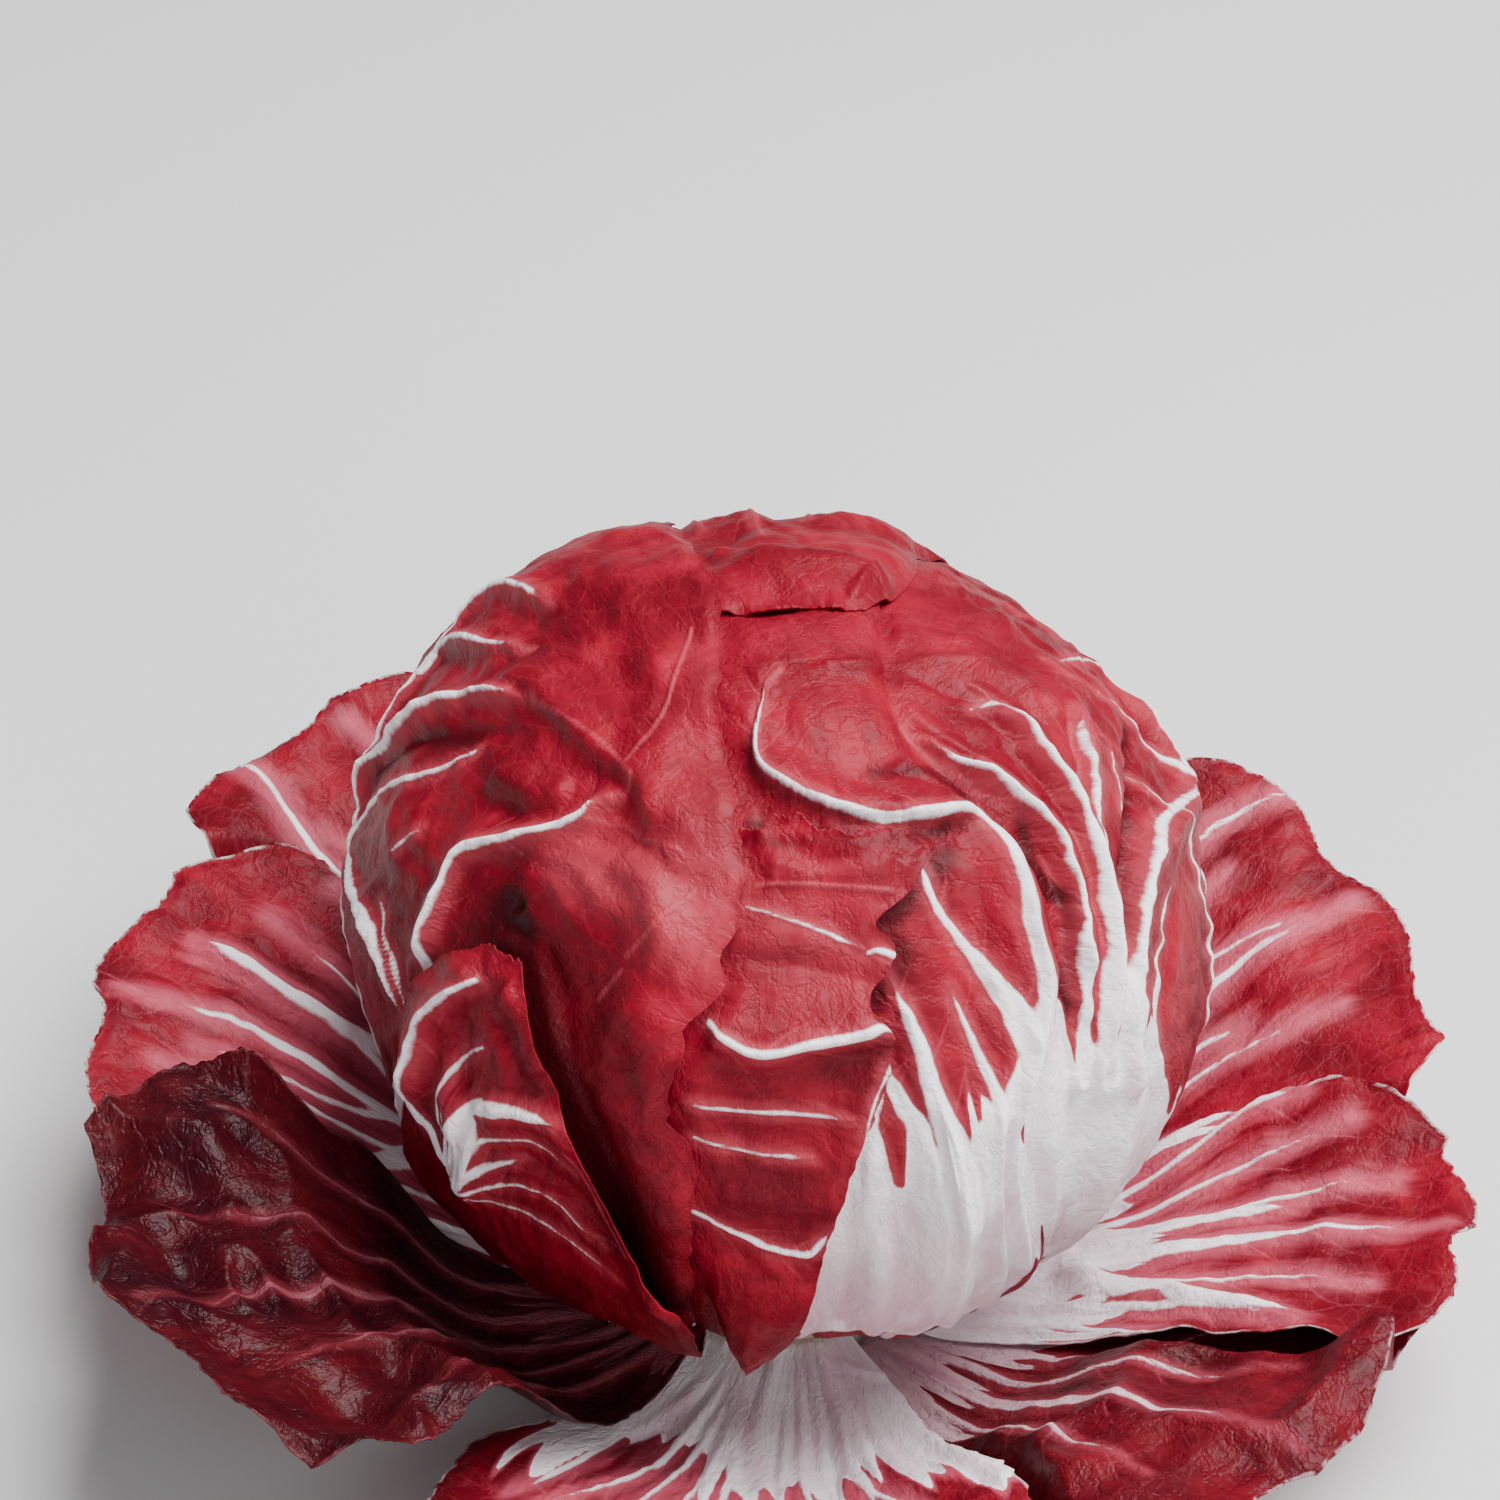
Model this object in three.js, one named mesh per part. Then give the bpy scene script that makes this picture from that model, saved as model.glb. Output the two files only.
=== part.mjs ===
// A radicchio head on its cut stump, with the loose outer leaves spread beneath it. Millimetres, +Z up.
// The origin is the centre of the stump's cut face, which the plant rests on, and -Y faces the viewer.
// The head is a packed heart wrapped in eight leaves, each lying over the one before it.
import * as THREE from "three";

const HEAD_CENTRE = new THREE.Vector3(0, 0, 64);
const HEAD_RADII = new THREE.Vector3(60, 59, 55);
const BLADE = 0.95; // a leaf's thickness between its ribs
const GAP = 0.7; // air between a leaf and the one that it lies over
const LAYER = BLADE + GAP;
const LEAF_BASE_ELEVATION = -64; // where the head's leaves leave the stump, seen from the head's centre

// Front outlines are drawn as a viewer sees the head, from above the table at this angle and distance:
// x to the right and y up, in millimetres from the head's centre.
const VIEW_ANGLE = THREE.MathUtils.degToRad(38);
const VIEW_DISTANCE = 700;
const TOWARDS_VIEWER = new THREE.Vector3(0, -Math.cos(VIEW_ANGLE), Math.sin(VIEW_ANGLE));
const ACROSS = new THREE.Vector3(1, 0, 0);
const UPWARD = TOWARDS_VIEWER.clone().cross(ACROSS);

const { smoothstep, degToRad } = THREE.MathUtils;

const skin = (color, roughness) => new THREE.MeshStandardMaterial({ color, roughness, metalness: 0 });
const HEAD_SKIN = skin(0xa5233a, 0.45);
const OUTER_SKIN = skin(0x8a1e33, 0.5);
const DARK_SKIN = skin(0x4f1420, 0.5);
const PALE_FLESH = skin(0xe9dfe3, 0.55);

// A direction from the head's centre: azimuth 0 is +X, -90 is the front.
function at(azimuth, elevation) {
  const a = degToRad(azimuth);
  const e = degToRad(elevation);
  return new THREE.Vector3(Math.cos(e) * Math.cos(a), Math.cos(e) * Math.sin(a), Math.sin(e));
}

// The direction of the head's skin that a viewer sees at x, y of the front drawing.
function seen(x, y) {
  const eye = TOWARDS_VIEWER.clone().multiplyScalar(VIEW_DISTANCE);
  const ray = ACROSS.clone().multiplyScalar(x).addScaledVector(UPWARD, y).sub(eye);
  const start = eye.clone().divide(HEAD_RADII);
  const step = ray.clone().divide(HEAD_RADII);
  const a = step.lengthSq();
  const b = start.dot(step);
  const c = start.lengthSq() - 1;
  const travel = (-b - Math.sqrt(Math.max(b * b - a * c, 0))) / a;
  return eye.addScaledVector(ray, travel).normalize();
}

const seenAll = (points) => points.map(([x, y]) => seen(x, y));

const NO_TURN = 1e-6; // radians

// The direction a share of the way along the great circle from one direction to another.
function between(from, to, share) {
  const angle = from.angleTo(to);
  if (angle < NO_TURN) return from.clone();
  return from
    .clone()
    .multiplyScalar(Math.sin((1 - share) * angle))
    .addScaledVector(to, Math.sin(share * angle))
    .normalize();
}

const smoothCurve = (points) => new THREE.CatmullRomCurve3(points, false, "centripetal");

// A flat chart of the head's skin round one direction, true to distance from there, in millimetres.
class SkinChart {
  constructor(centre) {
    this.centre = centre.clone().normalize();
    const pole = Math.abs(this.centre.z) > 0.9 ? new THREE.Vector3(0, 1, 0) : new THREE.Vector3(0, 0, 1);
    this.east = pole.clone().cross(this.centre).normalize();
    this.north = this.centre.clone().cross(this.east);
  }

  flat(direction) {
    const angle = this.centre.angleTo(direction);
    const x = direction.dot(this.east);
    const y = direction.dot(this.north);
    const length = Math.hypot(x, y) || 1;
    const scale = (angle * HEAD_RADII.y) / length;
    return new THREE.Vector2(x * scale, y * scale);
  }
}

function distanceToSegment(point, from, to) {
  const line = to.clone().sub(from);
  const share = THREE.MathUtils.clamp(point.clone().sub(from).dot(line) / (line.lengthSq() || 1), 0, 1);
  return point.distanceTo(from.clone().addScaledVector(line, share));
}

function distanceToPath(point, path) {
  let nearest = Infinity;
  for (let i = 1; i < path.length; i++) {
    nearest = Math.min(nearest, distanceToSegment(point, path[i - 1], path[i]));
  }
  return nearest;
}

// The distance from a point to a closed outline: positive outside it, negative inside.
function distanceOutside(point, outline) {
  let inside = false;
  for (let i = 0, j = outline.length - 1; i < outline.length; j = i++) {
    const a = outline[i];
    const b = outline[j];
    const crosses = a.y > point.y !== b.y > point.y;
    if (crosses && point.x < ((b.x - a.x) * (point.y - a.y)) / (b.y - a.y) + a.x) inside = !inside;
  }
  const distance = distanceToPath(point, [...outline, outline[0]]);
  return inside ? -distance : distance;
}

// A leaf laid over another keeps its level for a few millimetres past the edge beneath, then sinks.
const DRAPE = { held: 4, sunk: 16 };
const TUCK = { held: 3, sunk: 8 }; // tighter, where a leaf is pressed down into a valley beside an edge
const coverFrom = (distance, { held, sunk } = DRAPE) => 1 - smoothstep(distance, held, sunk);

// The rim of a leaf's grid, counter-clockwise, as u, v pairs.
function* rimOf(steps) {
  for (let i = 0; i < steps; i++) yield [i / steps, 0];
  for (let i = 0; i < steps; i++) yield [1, i / steps];
  for (let i = 0; i < steps; i++) yield [1 - i / steps, 1];
  for (let i = 0; i < steps; i++) yield [0, 1 - i / steps];
}

// Raised lines on a leaf: each has a path, a height and a half width. The highest wins.
function raised(lines, point) {
  return lines.reduce((most, line) => {
    const away = distanceToPath(point, line.path) / line.width;
    return Math.max(most, line.height * Math.exp(-away * away));
  }, 0);
}

// A closed blade from a grid: place(u, v, face) gives a point of its outer (1) or inner (0) face.
function bladeGeometry(across, along, place) {
  const vertices = [];
  const index = (face, i, j) => face * (across + 1) * (along + 1) + j * (across + 1) + i;
  for (const face of [1, 0]) {
    for (let j = 0; j <= along; j++) {
      for (let i = 0; i <= across; i++) vertices.push(...place(i / across, j / along, face).toArray());
    }
  }
  const triangles = [];
  const quad = (a, b, c, d) => triangles.push(a, b, c, a, c, d);
  for (let j = 0; j < along; j++) {
    for (let i = 0; i < across; i++) {
      quad(index(0, i, j), index(0, i + 1, j), index(0, i + 1, j + 1), index(0, i, j + 1));
      const [a, b] = [index(1, i, j), index(1, i + 1, j)];
      const [c, d] = [index(1, i + 1, j + 1), index(1, i, j + 1)];
      triangles.push(a, c, b, a, d, c);
    }
  }
  for (let i = 0; i < across; i++) {
    quad(index(0, i + 1, 0), index(0, i, 0), index(1, i, 0), index(1, i + 1, 0));
    quad(index(0, i, along), index(0, i + 1, along), index(1, i + 1, along), index(1, i, along));
  }
  for (let j = 0; j < along; j++) {
    quad(index(0, 0, j), index(0, 0, j + 1), index(1, 0, j + 1), index(1, 0, j));
    quad(index(0, across, j + 1), index(0, across, j), index(1, across, j), index(1, across, j + 1));
  }
  return closedGeometry(vertices, triangles);
}

// An indexed geometry whose faces are turned outwards if they were drawn inwards.
function closedGeometry(vertices, triangles) {
  let volume = 0;
  const corner = (k) => new THREE.Vector3().fromArray(vertices, 3 * triangles[k]);
  for (let k = 0; k < triangles.length; k += 3) {
    volume += corner(k).dot(corner(k + 1).cross(corner(k + 2)));
  }
  if (volume < 0) {
    for (let k = 0; k < triangles.length; k += 3) {
      [triangles[k + 1], triangles[k + 2]] = [triangles[k + 2], triangles[k + 1]];
    }
  }
  const geometry = new THREE.BufferGeometry();
  geometry.setAttribute("position", new THREE.Float32BufferAttribute(vertices, 3));
  geometry.setIndex(triangles);
  geometry.computeVertexNormals();
  return geometry;
}

// The heart's skin. It lies deeper at the front, where most leaves are folded over it.
const SIDE_DEPTH = 2.6;
const FRONT_DEPTH = 3.8;
const DEEPEST = at(-105, 45);
const BROAD_SWELL = 0.5;
const HIGH_SWELL = 0.4;

function spheroidRadius(direction) {
  return 1 / direction.clone().divide(HEAD_RADII).length();
}

function gentleSwell(direction) {
  const { x, y, z } = direction;
  const broad = Math.sin(3.1 * x + 1.3) * Math.cos(2.7 * y - 0.4);
  return BROAD_SWELL * broad + HIGH_SWELL * Math.sin(3.7 * z + 2.2 * x);
}

function heartRadius(direction) {
  const front = smoothstep(direction.dot(DEEPEST), -0.2, 0.9);
  return spheroidRadius(direction) - SIDE_DEPTH - FRONT_DEPTH * front + gentleSwell(direction);
}

// The deep valley in the left front leaf, beside the rolled lobe. The heart is hollowed beneath it.
const VALLEY_PATH = [[-39, 4], [-36, -8], [-31, -22], [-26, -33], [-20, -42], [-14, -50]];
const VALLEY_DEPTH = 5.5;
const VALLEY_WIDTH = 5.5;
const HOLLOW_DEPTH = VALLEY_DEPTH + 2;
const HOLLOW_WIDTH = VALLEY_WIDTH + 4;
const valleyChart = new SkinChart(seen(-30, -24));
const valleyLine = seenAll(VALLEY_PATH).map((d) => valleyChart.flat(d));

function valley(direction, depth, width) {
  const away = distanceToPath(valleyChart.flat(direction), valleyLine) / width;
  return depth * Math.exp(-away * away);
}

const FAR_SIDE = 2.6; // radians from a leaf's centre: nothing of the leaf lies beyond

// One leaf of the head: a blade between a left and a right margin, shaped over what lies beneath.
class HeadLeaf {
  constructor({ name, left, middle, right, across, along, wave = 0.02, ribs = [], folds = [], sunk }) {
    this.name = name;
    this.rails = [left, middle, right].map(smoothCurve);
    this.across = across;
    this.along = along;
    this.wave = wave;
    this.sunk = sunk ?? (() => 0);
    this.chart = new SkinChart(this.direction(0.5, 0.5));
    this.outline = [...rimOf(24)].map(([u, v]) => this.chart.flat(this.direction(u, v)));
    const onChart = (line) => ({ ...line, path: line.path.map((d) => this.chart.flat(d)) });
    this.ribs = ribs.map(onChart);
    this.folds = folds.map(onChart);
  }

  direction(u, v) {
    const waved = 0.5 + (u - 0.5) * (1 + this.wave * Math.sin(17 * v + 5 * u));
    const reach = v * (1 - this.wave * (1 + Math.sin(13 * u)) * v);
    const [left, middle, right] = this.rails.map((rail) => rail.getPointAt(reach).normalize());
    return waved < 0.5 ? between(left, middle, 2 * waved) : between(middle, right, 2 * waved - 1);
  }

  cover(direction, reach = DRAPE) {
    if (this.chart.centre.angleTo(direction) > FAR_SIDE) return 0;
    return coverFrom(distanceOutside(this.chart.flat(direction), this.outline), reach);
  }

  // A leaf's ribs and folds stand up only where no other leaf is pressed on them.
  mesh(beneath, above) {
    const clearOf = (leaves, direction) =>
      leaves.reduce((share, leaf) => share * (1 - leaf.cover(direction, TUCK)), 1);
    const place = (u, v, face) => {
      const direction = this.direction(u, v);
      const flat = this.chart.flat(direction);
      const free = clearOf(above, direction);
      let radius = heartRadius(direction) + GAP;
      for (const leaf of beneath) radius += LAYER * leaf.cover(direction);
      const sunk = this.sunk(direction);
      radius += free * raised(this.folds, flat) - (sunk ? sunk * clearOf(beneath, direction) : 0);
      if (face) radius += BLADE + free * raised(this.ribs, flat);
      return direction.clone().multiplyScalar(radius).add(HEAD_CENTRE);
    };
    return namedMesh(this.name, bladeGeometry(this.across, this.along, place), HEAD_SKIN);
  }
}

const base = (azimuth) => at(azimuth, LEAF_BASE_ELEVATION);

// The right side: a broad leaf with long pleats, each on a rib.
const rightLeaf = new HeadLeaf({
  name: "leaf_right",
  left: [base(-58), at(-64, -30), at(-66, 8), at(-68, 40), at(-80, 62), at(-130, 76)],
  middle: [base(-18), at(-16, -30), at(-12, 4), at(-8, 34), at(-4, 60), at(20, 84)],
  right: [base(20), at(36, -30), at(46, 4), at(50, 30), at(60, 52), at(80, 68)],
  across: 26,
  along: 18,
  folds: [
    {
      path: seenAll([[46, -11], [47, 0], [46, 10], [43, 17], [37, 27], [31, 34], [27, 37]]),
      height: 3,
      width: 4,
    },
    { path: seenAll([[42, 2], [41, 9], [37, 17], [30, 24], [22, 28], [17, 31]]), height: 2.4, width: 3.6 },
    { path: seenAll([[50, -13], [52, 4], [55, 18], [57, 26], [53, 32], [47, 38]]), height: 2.8, width: 4 },
    { path: seenAll([[36, -28], [44, -22], [46, -11]]), height: 1.8, width: 7 },
  ],
});

// Behind, under the crown leaf.
const backLeaf = new HeadLeaf({
  name: "leaf_back",
  left: [base(20), at(16, -30), at(14, 2), at(20, 32), at(30, 54)],
  middle: [base(52), at(56, -30), at(60, 2), at(62, 34), at(60, 62)],
  right: [base(84), at(98, -30), at(106, 2), at(104, 34), at(96, 58)],
  across: 12,
  along: 11,
  folds: [{ path: [base(52), at(57, -10), at(60, 30), at(60, 55)], height: 1.5, width: 4 }],
});

// The right front: its broad white midrib climbs from the base and bends over to the left.
const FRONT_MIDRIB = [[23, -44], [29, -27], [32, -23], [35, -15], [36.5, -7], [35, 1.5], [33, 11], [29, 18]];
const FRONT_MIDRIB_BENT = [
  [29, 18], [22, 17.5], [14, 17.2], [6, 19], [0.5, 22], [-3, 25], [-2.6, 34], [0, 38.5],
];
const frontRightLeaf = new HeadLeaf({
  name: "leaf_front_right",
  left: [base(-82), at(-96, -34), at(-99, -4), at(-103, 28), at(-110, 54), at(-140, 78)],
  middle: [base(-62), at(-66, -34), at(-70, 2), at(-72, 34), at(-78, 62), at(90, 88)],
  right: [base(-42), at(-44, -34), seen(36, -26), seen(41, -2), seen(32, 18), seen(19, 30), at(10, 76)],
  across: 16,
  along: 18,
  folds: [
    { path: seenAll(FRONT_MIDRIB), height: 3, width: 6 },
    { path: seenAll(FRONT_MIDRIB_BENT), height: 1.8, width: 3.4 },
  ],
  ribs: [{ path: seenAll([[24, -33], [21, -16], [16, -5]]), height: 1.1, width: 3.4 }],
});

// The crown leaf comes up the back and ends in a rolled lip just past the top.
const CROWN_LIP = [[-6, 46.5], [-2, 46.5], [4, 46.5], [10, 46]];
const crownLeaf = new HeadLeaf({
  name: "leaf_crown",
  left: [base(124), at(136, -30), at(144, 4), at(146, 38), at(150, 64), at(155, 80)],
  middle: [base(96), at(96, -30), at(96, 4), at(96, 38), at(96, 68), seen(2, 46.4)],
  right: [base(68), at(58, -30), at(48, 4), at(44, 34), at(38, 58), seen(15, 45.5)],
  across: 14,
  along: 16,
  folds: [
    { path: seenAll(CROWN_LIP), height: 1.8, width: 2.8 },
    { path: [base(96), at(96, -20), at(96, 30), at(96, 60)], height: 1.6, width: 4 },
  ],
});

// The front flap hangs over the right front leaf, creased where its blade turns down to the tip.
const FLAP_CREASE = [[-9, -13], [-3, -16], [4, -15], [11, -13.5], [16.5, -13.5]];
const FLAP_MARGIN = [
  [2, -54], [8, -42], [12, -31], [16.5, -17.5], [16, -13.5], [13, -10], [17, -2], [14, 1.5], [18, 6],
  [22, 14.5],
];
const frontFlap = new HeadLeaf({
  name: "leaf_front_flap",
  left: [at(-99, -43), at(-101, -20), at(-103, 4), at(-106, 22), at(-106, 40), at(-104, 54)],
  middle: [at(-96, -43), at(-94, -20), at(-92, 4), at(-90, 22), at(-86, 40), at(-82, 55)],
  right: [at(-94, -44), ...seenAll(FLAP_MARGIN)],
  across: 12,
  along: 26,
  wave: 0.01,
  folds: [
    { path: seenAll(FLAP_CREASE), height: 2.4, width: 3.6 },
    { path: seenAll([[-4, -58], [0, -52]]), height: 4.5, width: 9 },
  ],
});

// The left front: a wide sheet whose toothed right margin runs down the middle of the head.
const SEAM = [
  [-12, -52], [-10, -36], [-13, -19], [-8, -8], [-4, 4], [-5.5, 18], [-7, 32], [-8, 48], [-14, 56.5],
];
const leftLeaf = new HeadLeaf({
  name: "leaf_front_left",
  left: [base(-172), at(172, -32), at(160, 0), at(148, 24), at(136, 40), at(118, 50)],
  middle: [base(-146), at(-146, -32), at(-150, 0), at(-158, 30), at(176, 54), at(130, 60)],
  right: [at(-108, -40), ...seenAll(SEAM)],
  across: 20,
  along: 20,
  wave: 0.012,
  sunk: (direction) => valley(direction, VALLEY_DEPTH, VALLEY_WIDTH),
  folds: [
    { path: seenAll([[-40, 36], [-35, 35], [-28, 29], [-21, 23], [-18, 16]]), height: 2.4, width: 3.6 },
    { path: seenAll([[-60, 16], [-52, 27], [-46, 31], [-38, 33.5]]), height: 1.8, width: 3.2 },
    {
      path: seenAll([[-51, -8], [-49, 4], [-46, 12], [-39, 14], [-29, 17.5], [-22, 21]]),
      height: 2.2,
      width: 3.2,
    },
  ],
});

// The left back, lying over the left sheet along the head's side.
const leftBackLeaf = new HeadLeaf({
  name: "leaf_left_back",
  left: [base(136), at(124, -30), at(116, 2), at(112, 26), at(110, 44)],
  middle: [base(158), at(158, -30), at(152, 2), at(142, 28), at(128, 48)],
  right: [base(-178), at(-170, -30), at(-176, 6), at(166, 28), at(146, 50)],
  across: 12,
  along: 14,
  folds: [{ path: [base(160), at(160, -20), at(158, 8), at(148, 34)], height: 1.4, width: 4 }],
});

// The rolled lobe at the lower left: bent outwards at a white knob, its flap running to the tip.
const lobeLeaf = new HeadLeaf({
  name: "leaf_rolled_lobe",
  left: [base(-158), at(-158, -34), at(-152, -12), seen(-53, -18), seen(-53.5, -9), seen(-48, -3)],
  middle: [base(-136), at(-128, -36), at(-130, -14), seen(-40, -24), seen(-40, -13), seen(-42, -1)],
  right: [base(-112), seen(-10, -54.5), seen(-17, -46), seen(-27, -32), seen(-34, -17), seen(-37, -3.5)],
  across: 14,
  along: 14,
  folds: [
    { path: seenAll([[-44, -29], [-43, -34]]), height: 4.5, width: 5 },
    { path: seenAll([[-53, -16], [-50, -8], [-43, -4]]), height: 2, width: 3.4 },
    { path: seenAll([[-40, -27], [-30, -33], [-20, -44], [-12, -52]]), height: 1.8, width: 4.5 },
  ],
});

const HEAD_LEAVES = [
  rightLeaf, backLeaf, frontRightLeaf, crownLeaf, frontFlap, leftLeaf, leftBackLeaf, lobeLeaf,
];

// The loose outer leaves lie in a bowl round the head: low in front, higher at the sides and back.
const BOWL_RADII = [0, 20, 30, 40, 50, 60, 70, 80, 95, 120];
const BOWL_SHARE = [0, 0.02, 0.09, 0.2, 0.36, 0.56, 0.76, 0.9, 1, 1.04];
const BOWL_FLOOR = 1.0;
const BOWL_MEAN_LIFT = 31;
const BOWL_BACK_LIFT = 12;
const BOWL_LEFT_LIFT = 3;

function bowl(x, y) {
  const radius = Math.hypot(x, y);
  const i = Math.max(1, BOWL_RADII.findIndex((limit) => radius < limit));
  const share = THREE.MathUtils.mapLinear(
    radius, BOWL_RADII[i - 1], BOWL_RADII[i], BOWL_SHARE[i - 1], BOWL_SHARE[i],
  );
  const lift = BOWL_MEAN_LIFT + (BOWL_BACK_LIFT * y - BOWL_LEFT_LIFT * x) / radius;
  return BOWL_FLOOR + lift * share;
}

const MARGIN_WAVE = 0.05; // shares of a leaf's width and length
const TIP_WAVE = 0.025;
const OUTER_BLADE = BLADE + 0.15;
const MIDRIB_RISE = 1.8;
const MIDRIB_WIDTH = 0.07; // a share of the leaf's width

// One outer leaf, drawn in plan from its base at the stump to its tip.
class OuterLeaf {
  constructor({ name, left, middle, right, ruffle = 3, crumple = 0, ...options }) {
    const { across = 12, along = 12, ribs = [], material = OUTER_SKIN } = options;
    this.name = name;
    this.material = material;
    const inPlan = ([x, y]) => new THREE.Vector3(x, y, 0);
    this.rails = [left, middle, right].map((rail) => smoothCurve(rail.map(inPlan)));
    this.ruffle = ruffle;
    this.crumple = crumple;
    this.across = across;
    this.along = along;
    this.ribs = ribs.map((line) => ({ ...line, path: line.path.map(([x, y]) => new THREE.Vector2(x, y)) }));
    this.outline = [...rimOf(24)].map(([u, v]) => this.plan(u, v));
  }

  plan(u, v) {
    const waved = 0.5 + (u - 0.5) * (1 + MARGIN_WAVE * v * Math.sin(16 * v + 4 * u));
    const reach = v * (1 - TIP_WAVE * (1 + Math.sin(11 * u)) * v);
    const [left, middle, right] = this.rails.map((rail) => rail.getPoint(reach));
    const point = waved < 0.5 ? left.lerp(middle, 2 * waved) : middle.lerp(right, 2 * waved - 1);
    return new THREE.Vector2(point.x, point.y);
  }

  cover(point) {
    return coverFrom(distanceOutside(point, this.outline));
  }

  // The ruffled margin and the crumpled blade, both upwards from where the leaf would lie flat.
  rise(u, v) {
    const edge = Math.max(Math.abs(2 * u - 1) ** 4, v ** 5) * smoothstep(v, 0.3, 0.7);
    const ruffle = this.ruffle * edge * (1 + Math.sin(19 * v + 9 * u));
    const away = smoothstep(v, 0.45, 0.75);
    return ruffle + this.crumple * away * (1 + Math.sin(12 * u + 3 * v) * Math.cos(10 * v - 4 * u));
  }

  mesh(beneath, above) {
    const place = (u, v, face) => {
      const point = this.plan(u, v);
      const free = above.reduce((share, leaf) => share * (1 - leaf.cover(point)), 1);
      let height = bowl(point.x, point.y) + free * this.rise(u, v);
      for (const leaf of beneath) height += LAYER * leaf.cover(point);
      if (face) {
        const midrib = MIDRIB_RISE * (1 - 0.7 * v) * Math.exp(-(((u - 0.5) / MIDRIB_WIDTH) ** 2));
        height += OUTER_BLADE + free * Math.max(midrib, raised(this.ribs, point));
      }
      return new THREE.Vector3(point.x, point.y, height);
    };
    return namedMesh(this.name, bladeGeometry(this.across, this.along, place), this.material);
  }
}

const OUTER_LEAVES = [
  new OuterLeaf({
    name: "outer_leaf_under_front_right",
    left: [[16, -9], [35, -19], [55, -27], [75, -36], [88, -46]],
    middle: [[12.5, -14], [26, -31], [42, -48], [58, -62], [73, -72]],
    right: [[7, -17.5], [14, -38], [22, -59], [32, -77], [48, -88]],
    ruffle: 3.5,
    crumple: 1.5,
  }),
  new OuterLeaf({
    name: "outer_leaf_right",
    left: [[18.5, -1], [38, -4], [61, -7], [84, 0], [97, 14]],
    middle: [[17.5, 6], [34, 16], [53, 27], [73, 38], [91, 46]],
    right: [[14, 12.5], [24, 33], [37, 54], [53, 68], [71, 70]],
    ribs: [{ path: [[24, 8], [58, 15], [84, 22]], height: 0.9, width: 2.6 }],
  }),
  new OuterLeaf({
    name: "outer_leaf_back_left",
    left: [[-5, 18], [-8, 39], [-12, 61], [-21, 84], [-36, 95]],
    middle: [[-11.5, 14.5], [-25, 30], [-41, 48], [-57, 65], [-70, 79]],
    right: [[-16, 9], [-35, 15], [-58, 25], [-79, 39], [-90, 56]],
    ribs: [{ path: [[-22, 20], [-55, 38], [-80, 54]], height: 0.9, width: 2.6 }],
  }),
  new OuterLeaf({
    name: "outer_leaf_back",
    left: [[12.5, 13.5], [29, 31], [45, 50], [55, 68], [50, 87]],
    middle: [[6, 17.5], [11, 38], [16, 60], [20, 82], [21, 101]],
    right: [[-1, 18.5], [-6, 40], [-12, 62], [-15, 84], [-4, 98]],
  }),
  new OuterLeaf({
    name: "outer_leaf_left",
    left: [[-15.5, 10], [-33, 23], [-52, 36], [-73, 46], [-91, 40]],
    middle: [[-18, 4], [-37, 8], [-57, 12], [-78, 16], [-101, 18]],
    right: [[-18, -4], [-38, -12], [-60, -18], [-82, -20], [-97, -8]],
    ribs: [{ path: [[-24, 1], [-50, 1], [-82, -2]], height: 0.9, width: 2.6 }],
  }),
  new OuterLeaf({
    name: "outer_leaf_front",
    left: [[-5, -18], [-20, -39], [-37, -61], [-44, -82], [-33, -96]],
    middle: [[0.5, -18.5], [-3, -40], [-4, -62], [-5, -84], [-6, -102]],
    right: [[6, -17.5], [17, -38], [30, -59], [37, -79], [24, -96]],
    ribs: [
      { path: [[-4, -26], [-16, -42], [-30, -60], [-38, -72]], height: 1, width: 2.6 },
      { path: [[3, -28], [11, -46], [16, -66], [20, -82]], height: 1, width: 2.6 },
    ],
  }),
  new OuterLeaf({
    name: "outer_leaf_front_right",
    left: [[18.5, 3], [38, 7], [59, 9], [81, 6], [96, -6]],
    middle: [[18.5, -3], [38, -7], [58, -13], [79, -19], [98, -25]],
    right: [[17, -7.5], [36, -17], [56, -30], [75, -42], [90, -42]],
    ribs: [
      { path: [[24, -8], [40, -16], [58, -28], [72, -37]], height: 1.3, width: 2.6 },
      { path: [[26, -1], [52, -2], [80, -4]], height: 0.9, width: 2.6 },
    ],
  }),
  new OuterLeaf({
    name: "outer_leaf_front_left",
    left: [[-18.5, -4], [-38, -7], [-60, -6], [-83, -8], [-97, -20]],
    middle: [[-16, -10], [-32, -23], [-51, -36], [-72, -48], [-90, -58]],
    right: [[-11, -15], [-20, -37], [-31, -57], [-45, -74], [-62, -83]],
    ruffle: 4,
    crumple: 3.2,
    across: 16,
    along: 16,
    material: DARK_SKIN,
  }),
];

function namedMesh(name, geometry, material) {
  const mesh = new THREE.Mesh(geometry, material);
  mesh.name = name;
  return mesh;
}

// The heart: the leaves packed inside, one solid mass in spiral folds, flat where it meets the stump.
const HEART_AROUND = 30;
const HEART_RISE = 16;
const HEART_FOOT_ELEVATION = -66;
const HEART_TOP_ELEVATION = 84;
const SPIRAL_FOLDS = 5;
const SPIRAL_TWIST = 4;
const SPIRAL_DEPTH = 0.35;

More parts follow.
